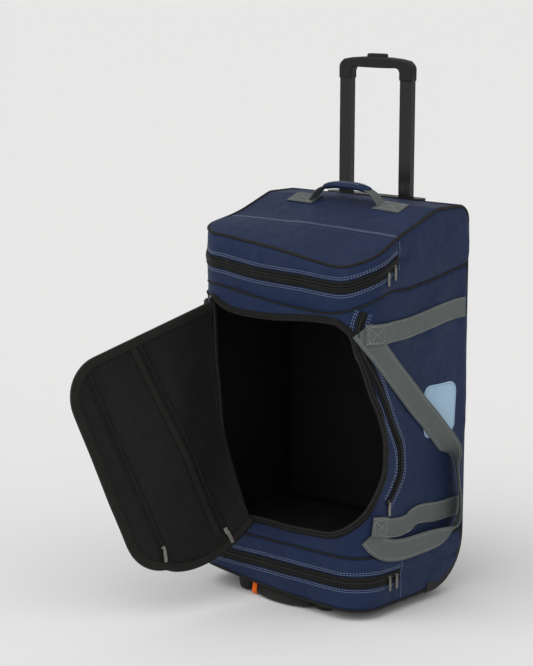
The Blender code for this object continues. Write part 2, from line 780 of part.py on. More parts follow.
def bezel(bag, holes):
    """Moulded plate on the top panel that the tubes come out of."""
    half, radius = 0.122, 0.015
    outline = arc((half - radius, 0), radius, -90, 90, 8) + arc((-half + radius, 0), radius, 90, 270, 8)
    low, high = REAR_TOP_Z + 2 * GAP, REAR_TOP_Z + 0.0055
    plate = prism(
        "trolley_bezel",
        outline,
        lambda x, y: (x, TUBE_Y + y, low),
        lambda x, y: (x, TUBE_Y + y, high),
        "black_plastic",
        bag,
    )
    wide, deep = TUBE_SECTION[0] / 2 + 0.0006, TUBE_SECTION[1] / 2 + 0.0006
    for x in holes:
        hole = box(
            f"bezel_hole_{side_name(x)}",
            (x - wide, TUBE_Y - deep, low - 0.01),
            (x + wide, TUBE_Y + deep, high + 0.01),
            "black_plastic",
            bag,
        )
        cut(plate, hole)
    return plate


def grip(slide):
    """U-shaped grip that joins the tubes, with a pocket for the button and its yoke."""
    leg_inner = TUBE_X - SLEEVE_SECTION[0] / 2 - 0.002
    outer, radius = GRIP_HALF, 0.016
    outline = [(-outer, GRIP_LOW_Z), (-leg_inner, GRIP_LOW_Z)]
    outline += arc((-leg_inner + 0.010, GRIP_BAR_Z - 0.010), 0.010, 180, 90, 4)
    outline += arc((leg_inner - 0.010, GRIP_BAR_Z - 0.010), 0.010, 90, 0, 4)
    outline += [(leg_inner, GRIP_LOW_Z), (outer, GRIP_LOW_Z)]
    outline += arc((outer - radius, GRIP_TOP_Z - radius), radius, 0, 90, 6)
    outline += arc((-outer + radius, GRIP_TOP_Z - radius), radius, 90, 180, 6)
    half = GRIP_DEPTH / 2
    bar = prism(
        "grip",
        outline,
        lambda x, z: (x, TUBE_Y - half, z),
        lambda x, z: (x, TUBE_Y + half, z),
        "black_plastic",
        slide,
    )
    wide, deep = TUBE_SECTION[0] / 2 + GAP, TUBE_SECTION[1] / 2 + GAP
    pockets = bmesh.new()
    for side in (-1, 1):
        x = side * TUBE_X
        low, high = (x - wide, TUBE_Y - deep, GRIP_LOW_Z - 0.01), (x + wide, TUBE_Y + deep, TUBE_TOP_Z + GAP)
        add_box(pockets, low, high)
    cut(bar, finish("grip_sockets", pockets, "black_plastic", slide))
    channel = box(
        "grip_channel",
        (-TUBE_X - 0.006, TUBE_Y - 0.004, TUBE_TOP_Z - 0.001),
        (TUBE_X + 0.006, TUBE_Y + 0.004, 1.0515),
        "black_plastic",
        slide,
    )
    cut(bar, channel)
    pocket = box(
        "button_pocket",
        (-BUTTON_HALF - 0.0005, TUBE_Y - 0.0065, 1.0500),
        (BUTTON_HALF + 0.0005, TUBE_Y + 0.0065, GRIP_TOP_Z + 0.01),
        "black_plastic",
        slide,
    )
    cut(bar, pocket)
    return bar


def button_and_yoke(slide, button_slide):
    """Release button, the yoke and rods that it pushes, and its return spring."""
    top = GRIP_TOP_Z + BUTTON_PROUD
    outline = [(-BUTTON_HALF, 1.0560), (BUTTON_HALF, 1.0560)]
    outline += arc((BUTTON_HALF - 0.004, top - 0.004), 0.004, 0, 90, 3)
    outline += arc((-BUTTON_HALF + 0.004, top - 0.004), 0.004, 90, 180, 3)
    prism(
        "release_button",
        outline,
        lambda x, z: (x, TUBE_Y - 0.006, z),
        lambda x, z: (x, TUBE_Y + 0.006, z),
        "black_plastic",
        button_slide,
    )
    yoke = bmesh.new()
    bar_low, bar_high, rod, rod_low = 1.0462, 1.0490, 0.0025, 0.640
    outline = [(-TUBE_X - rod, bar_high), (-TUBE_X - rod, rod_low)]
    outline += [(-TUBE_X + rod, rod_low), (-TUBE_X + rod, bar_low)]
    outline += [(TUBE_X - rod, bar_low), (TUBE_X - rod, rod_low)]
    outline += [(TUBE_X + rod, rod_low), (TUBE_X + rod, bar_high)]
    outline += [(0.0050, bar_high), (0.0050, 1.0557), (-0.0050, 1.0557), (-0.0050, bar_high)]
    add_prism(yoke, outline, lambda x, z: (x, TUBE_Y - rod, z), lambda x, z: (x, TUBE_Y + rod, z))
    return finish("push_yoke", yoke, "black_plastic", button_slide)


# ---------------------------------------------------------------- wheels and feet


def housing_outline(inset=0.0):
    """Side view of a wheel housing, rounded at its lower rear corner."""
    radius = 0.086 - inset
    centre = (HOUSING_REAR_Y - 0.086, HOUSING_LOW_Z + 0.086)
    curve = arc(centre, radius, -90, 0, 10)
    front, top = HOUSING_FRONT_Y + inset, HOUSING_TOP_Z - inset
    return [(front, HOUSING_LOW_Z + inset)] + curve + [(HOUSING_REAR_Y - inset, top), (front, top)]


def wheel_set(side, bag, spin):
    """One corner of the base: housing, axle, hub and tyre."""
    name = side_name(side)
    inner, outer = side * HOUSING_INNER_X, side * HOUSING_OUTER_X
    housing = prism(
        f"wheel_housing_{name}",
        housing_outline(),
        lambda y, z: (inner, y, z),
        lambda y, z: (outer, y, z),
        "black_plastic",
        bag,
    )
    well_half = WHEEL_WIDTH / 2 + 0.004
    well_x = sorted((side * (WHEEL_X - well_half), side * (WHEEL_X + well_half)))
    well = bmesh.new()
    low, high = (well_x[0], WHEEL_Y - 0.050, -0.01), (well_x[1], HOUSING_REAR_Y + 0.01, WHEEL_RADIUS + 0.050)
    add_box(well, low, high)
    cut(housing, finish(f"wheel_well_{name}", well, "black_plastic", bag))
    pocket_x = sorted((side * (WHEEL_X + well_half + CHEEK), outer - side * CHEEK))
    pocket = bmesh.new()
    add_prism(
        pocket,
        [(max(y, HOUSING_FRONT_Y - 0.01), z) for y, z in pocket_outline()],
        lambda y, z: (pocket_x[0], y, z),
        lambda y, z: (pocket_x[1], y, z),
    )
    cut(housing, finish(f"housing_pocket_{name}", pocket, "black_plastic", bag))
    bore = bmesh.new()
    ends = sorted((side * (HOUSING_INNER_X - 0.01), side * (WHEEL_X + well_half + CHEEK + 0.002)))
    add_cylinder(bore, (ends[0], WHEEL_Y, WHEEL_RADIUS), AXLE_RADIUS + AXLE_CLEARANCE, ends[1] - ends[0], 24)
    cut(housing, finish(f"axle_bore_{name}", bore, "black_plastic", bag))
    axle(name, side, well_half, bag)
    hub_and_tyre(name, spin)


def pocket_outline():
    """Hollow in a housing's outer part, open towards the front."""
    outline = housing_outline(CHEEK)
    outline[0] = (HOUSING_FRONT_Y - 0.01, outline[0][1])
    outline[-1] = (HOUSING_FRONT_Y - 0.01, outline[-1][1])
    return outline


def add_cylinder(mesh_builder, start, radius, length, sides):
    """Adds a closed cylinder along +X."""
    rings = []
    for x in (start[0], start[0] + length):
        turns = turn_angles(sides)
        ring = [(start[1] + radius * math.cos(a), start[2] + radius * math.sin(a)) for a in turns]
        rings.append([Vector((x, y, z)) for y, z in ring])
    add_sweep(mesh_builder, rings)


def axle(name, side, well_half, bag):
    """Headed steel axle through both cheeks of a housing."""
    start = -(WHEEL_X - HOUSING_INNER_X) - 0.0008
    end = well_half + CHEEK + 0.0006
    head = 0.0022
    cap = 0.0062
    profile = ((start - head, cap), (start, cap), (start, AXLE_RADIUS))
    profile += ((end, AXLE_RADIUS), (end, cap), (end + head, cap))
    rings = []
    for along, radius in profile:
        x = side * (WHEEL_X + along)
        turns = turn_angles(16)
        ring = [(WHEEL_Y + radius * math.cos(a), WHEEL_RADIUS + radius * math.sin(a)) for a in turns]
        rings.append([Vector((x, y, z)) for y, z in ring])
    mesh_builder = bmesh.new()
    add_sweep(mesh_builder, rings)
    return finish(f"axle_{name}", mesh_builder, "steel", bag)


def hub_and_tyre(name, spin):
    """Moulded hub on the axle, and the rubber tyre round it."""
    half = WHEEL_WIDTH / 2
    bore = AXLE_RADIUS + AXLE_CLEARANCE
    rim = WHEEL_RADIUS - 0.009
    hub = bmesh.new()
    quarter = [(-half, bore), (-half, 0.012), (-half + 0.008, 0.014), (-half + 0.008, rim - 0.006)]
    quarter += [(-half + 0.002, rim - 0.003), (-half + 0.002, rim)]
    profile = quarter + [(-along, out) for along, out in reversed(quarter)]
    add_turned(hub, profile, 32, (0, 0, 0))
    finish(f"wheel_hub_{name}", hub, "black_plastic", spin)
    tyre = bmesh.new()
    inside = rim + GAP
    quarter = [(-half + 0.002, inside), (-half, WHEEL_RADIUS - 0.005)]
    quarter += [(-half + 0.005, WHEEL_RADIUS - 0.0008), (-half + 0.010, WHEEL_RADIUS)]
    profile = quarter + [(-along, out) for along, out in reversed(quarter)]
    add_turned(tyre, profile, 40, (0, 0, 0))
    return finish(f"tyre_{name}", tyre, "rubber", spin)


def foot(side, bag):
    """Moulded foot under the front of the base tray."""
    top = BODY_BOTTOM_Z - 2 * GAP - 0.005
    profile = ((0.0, 0.0110), (0.0015, 0.0130), (0.0100, 0.0170), (top, 0.0225))
    rings = []
    for z, radius in profile:
        rings.append([Vector((radius * math.cos(a), radius * math.sin(a), z)) for a in turn_angles(24)])
    mesh_builder = bmesh.new()
    add_sweep(mesh_builder, rings)
    return finish(f"foot_{side_name(side)}", mesh_builder, "rubber", bag, (side * FOOT_X, FOOT_Y, 0))


# ---------------------------------------------------------------- sliders and pulls


def slider_frame(origin, along, outward):
    """A frame on a zip: local X along the zip, local Z out of the surface."""
    x = Vector(along).normalized()
    z = Vector(outward).normalized()
    rotation = Matrix((x, z.cross(x), z)).transposed()
    return Vector(origin), rotation.to_quaternion()


def slider_and_pull(name, origin, along, outward, carrier):
    """A zip slider on its own empty, and the pull that hangs from it on a second one."""
    place, turn = slider_frame(origin, along, outward)
    holder = empty(f"slide_{name}", place, turn, carrier)
    body = bmesh.new()
    outline = [(-0.0060, -0.0025), (0.0, -0.0045), (0.0060, -0.0045)]
    outline += [(0.0060, 0.0045), (0.0, 0.0045), (-0.0060, 0.0025)]
    add_prism(body, outline, lambda x, y: (x, y, 0.0), lambda x, y: (x * 0.92, y * 0.92, 0.0032))
    finish(f"slider_{name}", body, "gunmetal", holder)
    gravity = Vector((0, 0, -1))
    out = Vector(outward).normalized()
    down = (gravity - out * gravity.dot(out)).normalized()
    pivot_place = place + out * 0.0050
    frame = Matrix((out.cross(down), down, out)).transposed()
    if frame.determinant() < 0:
        frame = Matrix((down.cross(out), down, out)).transposed()
    hinge = empty(f"pivot_{name}", pivot_place, frame.to_quaternion(), carrier)
    pull = bmesh.new()
    add_pull(pull)
    finish(f"pull_{name}", pull, "gunmetal", hinge)
    return holder, hinge


def add_pull(mesh_builder):
    """Adds a flat pull with a slot at each end; local Y runs down its length."""
    length, half, thick = 0.025, 0.0036, 0.0007
    outer = [(-half * 0.7, -0.0012), (half * 0.7, -0.0012), (half, 0.004)]
    outer += [(half, length - 0.002), (half * 0.6, length)]
    outer += [(-half * 0.6, length), (-half, length - 0.002), (-half, 0.004)]
    add_prism(mesh_builder, outer, lambda x, y: (x, y, -thick), lambda x, y: (x, y, thick))


def flap_world(x, z, depth):
    """Where a point of the closed flap lies with the flap open."""
    turn = Matrix.Rotation(FLAP_OPEN, 3, Vector((math.sin(FLAP_TILT), 0, -math.cos(FLAP_TILT))))
    return FLAP_TOP + turn @ flap_local(x, z, depth)


def sliders(bag):
    """Every zip slider with its pull; those on the flap hang as the open flap leaves them."""
    side_x = BODY_WIDTH / 2 + GAP + ZIP_DEPTH + 0.0006
    rise = Vector((0, 1, LID_ZIP_SLOPE))
    for name, y in (("top_front", -0.0860), ("top_rear", -0.0660)):
        place = (side_x, y, lid_zip_height(y) - 0.0070)
        slider_and_pull(name, place, rise, (1, 0, 0), bag)
    for name, y in (("low_front", -0.0690), ("low_rear", -0.0480)):
        slider_and_pull(name, (side_x, y, LOW_ZIP_Z), (0, 1, 0), (1, 0, 0), bag)
    y, z = side_zip_path()[-1]
    slider_and_pull("side", (side_x, y + 0.006, z + 0.006), (0, 0.70, 0.71), (1, 0, 0), bag)
    slider_and_pull("main", (-0.170, FRONT_Y - 0.0010, 0.5925), (1, 0, 0), (0, -1, 0), bag)
    depth = FLAP_THICKNESS / 2 + GAP + ZIP_DEPTH + 0.0006
    top, bottom = FLAP_ZIP
    low_end, high_end = flap_world(*bottom, depth), flap_world(*top, depth)
    outward = flap_world(*bottom, depth + 1.0) - low_end
    along = (high_end - low_end).normalized()
    slider_and_pull("flap", low_end + along * 0.008, along, outward, bag)


# ---------------------------------------------------------------- the whole bag


def build():
    for old in list(bpy.data.objects):
        bpy.data.objects.remove(old, do_unlink=True)
    bag = empty("bag", (0, BAG_Y, 0))
    main_compartment(bag)
    top_pocket(bag, empty("lid_hinge", (0, LID_Y, top_height(LID_Y)), parent=bag))
    spaces = [housing_space(side, bag) for side in (-1, 1)]
    bottom_pocket(bag, spaces)
    back_cover(bag, spaces)
    back_board(bag)
    base_tray(bag)
    zip_tapes(bag)
    piping(bag)
    side_zip(bag)
    for side in (-1, 1):
        name = side_name(side)
        sewn_straps(side, bag)
        haul_loop(side, empty(f"haul_hinge_{name}", (side * 0.2215, -0.104, 0.36), parent=bag))
        spin = empty(f"spin_{name}", (side * WHEEL_X, WHEEL_Y, WHEEL_RADIUS), parent=bag)
        wheel_set(side, bag, spin)
        foot(side, bag)
    top_handle(bag, empty("top_handle_hinge", (HANDLE_X, HANDLE_Y, HANDLE_AXIS_Z), parent=bag))
    bottom_handle(bag, empty("bottom_handle_hinge", LOW_HANDLE_AXIS, parent=bag))
    axis = Vector((math.sin(FLAP_TILT), 0, -math.cos(FLAP_TILT)))
    turn = Matrix.Rotation(FLAP_OPEN, 3, axis).to_quaternion()
    flap(empty("flap_hinge", FLAP_TOP, turn, bag))
    slide = empty("trolley_slide", parent=bag)
    trolley(bag, slide, empty("button_slide", parent=slide))
    sliders(bag)


build()
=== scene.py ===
"""The rolling duffel bag's visual model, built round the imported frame. Metres, +Z up."""
import math

import bmesh
import bpy
from mathutils import Matrix, Vector, noise


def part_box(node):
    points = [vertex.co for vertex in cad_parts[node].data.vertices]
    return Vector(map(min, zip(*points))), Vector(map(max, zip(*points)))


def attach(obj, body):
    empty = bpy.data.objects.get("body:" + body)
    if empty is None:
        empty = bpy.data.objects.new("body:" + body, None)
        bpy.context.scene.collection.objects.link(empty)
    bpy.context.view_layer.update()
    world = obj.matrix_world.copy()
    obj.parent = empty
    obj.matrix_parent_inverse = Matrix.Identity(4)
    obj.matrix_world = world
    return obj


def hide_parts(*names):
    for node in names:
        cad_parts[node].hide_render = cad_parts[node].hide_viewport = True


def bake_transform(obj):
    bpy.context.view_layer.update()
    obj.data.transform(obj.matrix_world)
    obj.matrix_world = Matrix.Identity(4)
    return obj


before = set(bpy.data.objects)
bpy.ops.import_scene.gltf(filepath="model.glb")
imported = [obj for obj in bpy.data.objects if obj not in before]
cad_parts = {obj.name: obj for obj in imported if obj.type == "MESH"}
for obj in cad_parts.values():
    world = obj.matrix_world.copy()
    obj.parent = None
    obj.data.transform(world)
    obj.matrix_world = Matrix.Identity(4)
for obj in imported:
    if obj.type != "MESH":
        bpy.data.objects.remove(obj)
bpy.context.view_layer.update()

# Driving dimensions, in the bag's own coordinates: X = 0 on the middle plane, floor at Z = 0
HALF = (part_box("main_shell")[1][0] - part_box("main_shell")[0][0]) / 2
FRONT_Y = -0.15
REAR_Y = 0.17
CORNER = 0.06
BAG_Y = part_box("main_shell")[0][1] - FRONT_Y
SHIFT = Vector((0.0, BAG_Y, 0.0))
TOP_Z, TOP_BEND = 0.78, 0.03
BASE_Z, BASE_BEND = 0.022, 0.1
FLOOR_SEAM_Z = 0.125
LOW_ZIP_Z, LOW_ZIP_END_Y = 0.0765, -0.034
LID_Y = -0.055
FLAT = HALF - CORNER
S_SIDE = FLAT + CORNER * math.pi / 2
S_REAR = S_SIDE + REAR_Y - (FRONT_Y + CORNER)
S_LID = S_SIDE + LID_Y - (FRONT_Y + CORNER)
SKIN = 0.003
WEB, LOOP_WEB, WEB_THICK = 0.04, 0.044, 0.0024
TAPE = 0.022
SEAM_STEP = 0.006
STITCH_OUT = 0.0002
STITCH_ROWS = (0.015, 0.019)
SIDES = ((-1, "left"), (1, "right"))
UP, REARWARD = Vector((0, 0, 1)), Vector((0, 1, 0))


# ---- materials


class Nodes:
    """A small helper that builds one procedural material."""

    def __init__(self, name, colour, roughness, metallic=0.0, sheen=0.0, gloss=0.5):
        self.material = bpy.data.materials.new(name)
        self.material.use_nodes = True
        self.tree = self.material.node_tree
        self.shader = self.tree.nodes["Principled BSDF"]
        self.colour = (*colour, 1.0)
        plain = {"Base Color": self.colour, "Roughness": roughness, "Metallic": metallic}
        self.feed(self.shader, {**plain, "Sheen Weight": sheen, "Specular IOR Level": gloss})

    def feed(self, node, inputs):
        """Sets a node's inputs; each is a plain value or another node's output."""
        for key, value in inputs.items():
            if isinstance(value, bpy.types.NodeSocket):
                self.tree.links.new(value, node.inputs[key])
            else:
                node.inputs[key].default_value = value

    def add(self, kind, inputs, **settings):
        node = self.tree.nodes.new(kind)
        for key, value in settings.items():
            setattr(node, key, value)
        self.feed(node, inputs)
        return node.outputs

    def coordinates(self, kind, scale=(1, 1, 1)):
        source = self.add("ShaderNodeTexCoord", {})[kind]
        return self.add("ShaderNodeMapping", {"Vector": source, "Scale": scale})["Vector"]

    def noise(self, scale, detail=3.0, stretch=(1, 1, 1)):
        inputs = {"Scale": scale, "Detail": detail, "Vector": self.coordinates("Object", stretch)}
        return self.add("ShaderNodeTexNoise", inputs)["Fac"]

    def wave(self, period, direction="X"):
        inputs = {"Scale": math.pi / 10 / period, "Vector": self.coordinates("UV")}
        return self.add("ShaderNodeTexWave", inputs, bands_direction=direction)["Fac"]

    def math(self, operation, a, b):
        return self.add("ShaderNodeMath", {0: a, 1: b}, operation=operation)[0]

    def ramp(self, factor, low, high, start=0.35, end=0.65):
        inputs = {"Value": factor, "From Min": start, "From Max": end, "To Min": low, "To Max": high}
        return self.add("ShaderNodeMapRange", inputs)["Result"]

    def vary_colour(self, factor, other, start=0.3, end=0.7):
        share = self.ramp(factor, 0.0, 1.0, start, end)
        inputs = {"Factor": share, "A": self.colour, "B": (*other, 1.0)}
        mixed = self.add("ShaderNodeMix", inputs, data_type="RGBA")["Result"]
        self.feed(self.shader, {"Base Color": mixed})

    def vary_roughness(self, factor, low, high):
        self.feed(self.shader, {"Roughness": self.ramp(factor, low, high)})

    def bump(self, height, distance, strength=1.0):
        inputs = {"Distance": distance, "Strength": strength, "Height": height}
        previous = self.shader.inputs["Normal"]
        if previous.is_linked:
            inputs["Normal"] = previous.links[0].from_socket
        self.feed(self.shader, {"Normal": self.add("ShaderNodeBump", inputs)["Normal"]})


def woven(name, colour, shade, pitch, roughness, depth, sheen=0.0):
    """Plain-woven cloth: threads both ways, soft creases and a slightly uneven dye."""
    made = Nodes(name, colour, roughness, sheen=sheen, gloss=0.22)
    weave = made.math("MULTIPLY", made.wave(pitch, "X"), made.wave(pitch, "Y"))
    made.vary_colour(made.noise(9.0, 4.0), shade)
    made.vary_roughness(made.noise(60.0, 3.0), roughness - 0.08, roughness + 0.06)
    made.bump(made.noise(34.0, 5.0), 0.0022, 0.55)
    made.bump(weave, depth, 0.9)
    return made.material


def ribbed(name, colour, other, pitch, depth, roughness=0.72):
    """Tape with close ribs across its length; U runs along it."""
    made = Nodes(name, colour, roughness, gloss=0.3)
    ribs = made.wave(pitch, "X")
    made.vary_colour(ribs, other, 0.2, 0.9)
    made.vary_roughness(made.noise(80.0), roughness - 0.06, roughness + 0.06)
    made.bump(ribs, depth, 1.0)
    made.bump(made.noise(700.0, 2.0), 0.0001, 0.6)
    return made.material


def grainy(name, colour, other, scale, depth, roughness):
    """A fine even grain, for mouldings, rubber and thread."""
    made = Nodes(name, colour, roughness, gloss=0.28)
    made.vary_colour(made.noise(14.0, 4.0), other)
    made.vary_roughness(made.noise(40.0, 4.0), roughness - 0.07, roughness + 0.07)
    made.bump(made.noise(scale, 2.0), depth, 0.5)
    return made.material


def brushed(name, colour, roughness, metallic):
    """Metal with drawing lines along Z."""
    made = Nodes(name, colour, roughness, metallic, gloss=0.4)
    lines = made.noise(260.0, 3.0, stretch=(1.0, 1.0, 0.04))
    made.vary_colour(made.noise(18.0, 4.0), tuple(min(c * 1.35, 1.0) for c in colour))
    made.vary_roughness(lines, roughness - 0.05, roughness + 0.09)
    made.bump(lines, 0.00003, 0.4)
    return made.material


def webbing_material():
    """Flat webbing: ribs across and lengthwise bands. U runs across."""
    colour = (0.085, 0.098, 0.096)
    made = Nodes("flat_webbing", colour, 0.74, sheen=0.03, gloss=0.3)
    ribs = made.wave(0.002, "Y")
    bands = made.wave(0.0033, "X")
    weave = made.math("ADD", ribs, made.math("MULTIPLY", bands, 0.7))
    made.vary_colour(made.math("MULTIPLY", weave, 0.6), (0.12, 0.135, 0.132), 0.2, 0.9)
    made.vary_roughness(made.noise(50.0), 0.66, 0.82)
    made.bump(weave, 0.0004, 0.8)
    return made.material


# Slot, kind, material name, colours from 0 to 1, then the kind's own sizes and shares
LOOKS = (
    ("navy", woven, "navy_cloth", (0.0058, 0.016, 0.054), (0.0078, 0.02, 0.065), 0.0018, 0.66, 0.00018, 0.03),
    ("lining", woven, "lining_cloth", (0.003, 0.0033, 0.0033), (0.0045, 0.0049, 0.0048), 0.0014, 0.8, 0.0001),
    ("flap_inner", woven, "flap_lining", (0.005, 0.0056, 0.0056), (0.0078, 0.0085, 0.0084))
    + (0.0024, 0.72, 0.0002, 0.02),
    ("tape", woven, "zip_tape", (0.004, 0.0042, 0.0042), (0.006, 0.0062, 0.006), 0.0016, 0.75, 0.0002),
    ("orange", woven, "orange_tab", (0.8, 0.12, 0.006), (0.86, 0.15, 0.008), 0.002, 0.7, 0.0003),
    ("patch", woven, "woven_patch", (0.33, 0.48, 0.64), (0.38, 0.54, 0.7), 0.0012, 0.65, 0.0002),
    ("binding", ribbed, "binding_tape", (0.006, 0.0056, 0.0046), (0.0125, 0.0116, 0.0096), 0.0032, 0.0006),
    ("handle_web", ribbed, "ribbed_webbing", (0.0075, 0.007, 0.0062), (0.018, 0.0165, 0.014), 0.005, 0.001),
    ("coil", ribbed, "zip_coil", (0.005, 0.005, 0.005), (0.013, 0.013, 0.012), 0.0026, 0.0007, 0.4),
    ("thread", grainy, "pale_thread", (0.2, 0.255, 0.37), (0.26, 0.32, 0.44), 900.0, 0.0002, 0.75),
    ("grey_thread", grainy, "grey_thread", (0.25, 0.28, 0.27), (0.32, 0.35, 0.34), 900.0, 0.0002, 0.75),
    ("plastic", grainy, "moulded_plastic", (0.0045, 0.0044, 0.004), (0.007, 0.0067, 0.0062))
    + (700.0, 0.00012, 0.4),
    ("rubber", grainy, "tyre_rubber", (0.013, 0.013, 0.013), (0.02, 0.019, 0.018), 500.0, 0.0002, 0.8),
    ("tube", brushed, "tube_anodised", (0.004, 0.004, 0.0035), 0.26, 0.0),
    ("metal", brushed, "dark_nickel", (0.17, 0.165, 0.15), 0.28, 1.0),
    ("steel", brushed, "drawn_steel", (0.45, 0.45, 0.45), 0.32, 1.0),
)
MATERIALS = {slot: kind(*values) for slot, kind, *values in LOOKS}
MATERIALS["webbing"] = webbing_material()


# ---- mesh helpers


def link_mesh(name, builder, materials, smooth_angle=40):
    """Turns a bmesh in bag coordinates into an object of the scene."""
    bmesh.ops.translate(builder, verts=builder.verts, vec=SHIFT)
    mesh = bpy.data.meshes.new(name)
    builder.to_mesh(mesh)
    builder.free()
    mesh.shade_smooth()
    mesh.set_sharp_from_angle(angle=math.radians(smooth_angle))
    for slot in materials:
        mesh.materials.append(MATERIALS[slot])
    piece = bpy.data.objects.new(name, mesh)
    bpy.context.scene.collection.objects.link(piece)
    return piece


def put(builder, name, body, *slots, node=None, depth=0.0, offset=0.0, fold=None, sheet=None, angle=40):
    """Makes a piece of the visual model.

    It rides on its body, or, given a fold, is left where it is made and tied to no body. It may
    stand in a CAD node's place and have a thickness. Its sheet argument is not used.
    """
    piece = link_mesh(name, builder, slots, angle)
    if depth:
        solid = piece.modifiers.new("thickness", "SOLIDIFY")
        solid.thickness, solid.offset = depth, offset
        solid.material_offset = len(slots) - 1
    if node:
        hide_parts(node)
    if fold:
        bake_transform(piece)
    else:
        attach(piece, body)
    return piece


def put_shell(builder, name, body, node):
    """Makes a skin of navy cloth, lined on its inner face."""
    put(builder, name, body, "navy", "lining", node=node, depth=SKIN, offset=-1.0)


def centre_of(name):
    """Middle of a CAD node's box, in bag coordinates."""
    low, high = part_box(name)
    return (Vector(low) + Vector(high)) / 2 - SHIFT


def new_builder():
    builder = bmesh.new()
    builder.loops.layers.uv.new("cloth")
    return builder


def add_face(builder, verts, uvs, slot=0):
    """Adds a face with its texture coordinates, unless its corners run together."""
    kept = []
    for vert, uv in zip(verts, uvs):
        if all(vert is not other for other, _ in kept):
            kept.append((vert, uv))
    if len(kept) < 3:
        return None
    try:
        face = builder.faces.new([vert for vert, _ in kept])
    except ValueError:
        return None
    layer = builder.loops.layers.uv.active
    for loop, (_, uv) in zip(face.loops, kept):
        loop[layer].uv = uv
    face.material_index = slot
    return face


def add_grid(builder, rows, uvs, closed=False, slot=0):
    """Adds rows of points as quads; a closed grid's UV rows are one column longer."""
    verts = [[builder.verts.new(p) for p in row] for row in rows]
    count = len(rows[0])
    for r in range(len(rows) - 1):
        for i in range(count if closed else count - 1):
            j = (i + 1) % count
            corners = (verts[r][i], verts[r][j], verts[r + 1][j], verts[r + 1][i])
            places = (uvs[r][i], uvs[r][i + 1], uvs[r + 1][i + 1], uvs[r + 1][i])
            add_face(builder, corners, places, slot)
    return verts


def add_cloth(builder, rows, slot=0):
    """Adds rows of (point, cloth coordinate) pairs as quads."""
    points = [[point for point, _ in row] for row in rows]
    add_grid(builder, points, [[uv for _, uv in row] for row in rows], slot=slot)


def add_capped(builder, rows, uvs):
    """Adds rings of points as a closed form with flat ends."""
    verts = add_grid(builder, rows, uvs, closed=True)
    for end in (verts[0][::-1], verts[-1]):
        add_face(builder, end, [(0, 0)] * len(end))


def parts(start, end, count):
    return [start + (end - start) * i / count for i in range(count + 1)]


def spread(start, end, step):
    return parts(start, end, max(1, round(abs(end - start) / step)))


def across(edge, count):
    """Places from one edge to the other."""
    return [edge * (2 * j / count - 1) for j in range(count + 1)]


def ring_of(count):
    return [2 * math.pi * i / count for i in range(count)]


def arc(centre, radius, start, end, count):
    """Points of a circle's arc between two angles in degrees."""
    turns = [math.radians(turn) for turn in parts(start, end, count)]
    return [(centre[0] + radius * math.cos(a), centre[1] + radius * math.sin(a)) for a in turns]


def lengths(path):
    out = [0.0]
    for a, b in zip(path, path[1:]):
        out.append(out[-1] + (b - a).length)
    return out


def resample(path, step, closed=False):
    """Evenly spaced points along a path."""
    points = list(path) + ([path[0]] if closed else [])
    along = lengths(points)
    count = max(2, round(along[-1] / step))
    out, k = [], 0
    for i in range(count + 1):
        want = along[-1] * i / count
        while k < len(along) - 2 and along[k + 1] < want:
            k += 1
        gap = along[k + 1] - along[k]
        t = 0.0 if gap < 1e-9 else (want - along[k]) / gap
        out.append(points[k].lerp(points[k + 1], t))
    return out[:-1] if closed else out


def smooth_path(points, steps=8):
    """A Catmull-Rom curve through given points, flat or in space."""
    points = [Vector(p).to_3d() for p in points]
    padded = [points[0] * 2 - points[1]] + points + [points[-1] * 2 - points[-2]]
    out = []
    for a, b, c, d in zip(padded, padded[1:], padded[2:], padded[3:]):
        for i in range(steps):
            t = i / steps
            square, cube = 2 * a - 5 * b + 4 * c - d, 3 * b - a - 3 * c + d
            out.append(0.5 * (2 * b + (c - a) * t + square * t * t + cube * t**3))
    out.append(points[-1])
    return out


def tangents(path):
    last = len(path) - 1
    return [(path[min(i + 1, last)] - path[max(i - 1, 0)]).normalized() for i in range(last + 1)]


def add_tube(builder, path, radius, sides):
    """Adds a round tube with capped ends; U runs along it."""
    along, directions = lengths(path), tangents(path)
    side = directions[0].orthogonal().normalized()
    rows, uvs = [], []
    for place, direction, length in zip(path, directions, along):
        side = (side - direction * side.dot(direction)).normalized()
        other = direction.cross(side)
        rows.append([place + (side * math.cos(a) + other * math.sin(a)) * radius for a in ring_of(sides)])
        uvs.append([(length, i * 2 * math.pi * radius / sides) for i in range(sides + 1)])
    add_capped(builder, rows, uvs)


def add_ribbon(builder, path, widths, width, thickness, swap=False):
    """Adds a flat strap with softened edges; widths gives its width direction at each point."""
    half, thick = width / 2, thickness / 2
    section = [(-half, 0), (-half + thick, -thick), (half - thick, -thick)]
    section += [(half, 0), (half - thick, thick), (-half + thick, thick)]
    rows, uvs = [], []
    for place, direction, wide, length in zip(path, tangents(path), widths, lengths(path)):
        wide = (Vector(wide) - direction * Vector(wide).dot(direction)).normalized()
        normal = direction.cross(wide)
        rows.append([place + wide * a + normal * b for a, b in section])
        span = [a for a, _ in section] + [section[0][0]]
        uvs.append([(length, a) if swap else (a, length) for a in span])
    add_capped(builder, rows, uvs)


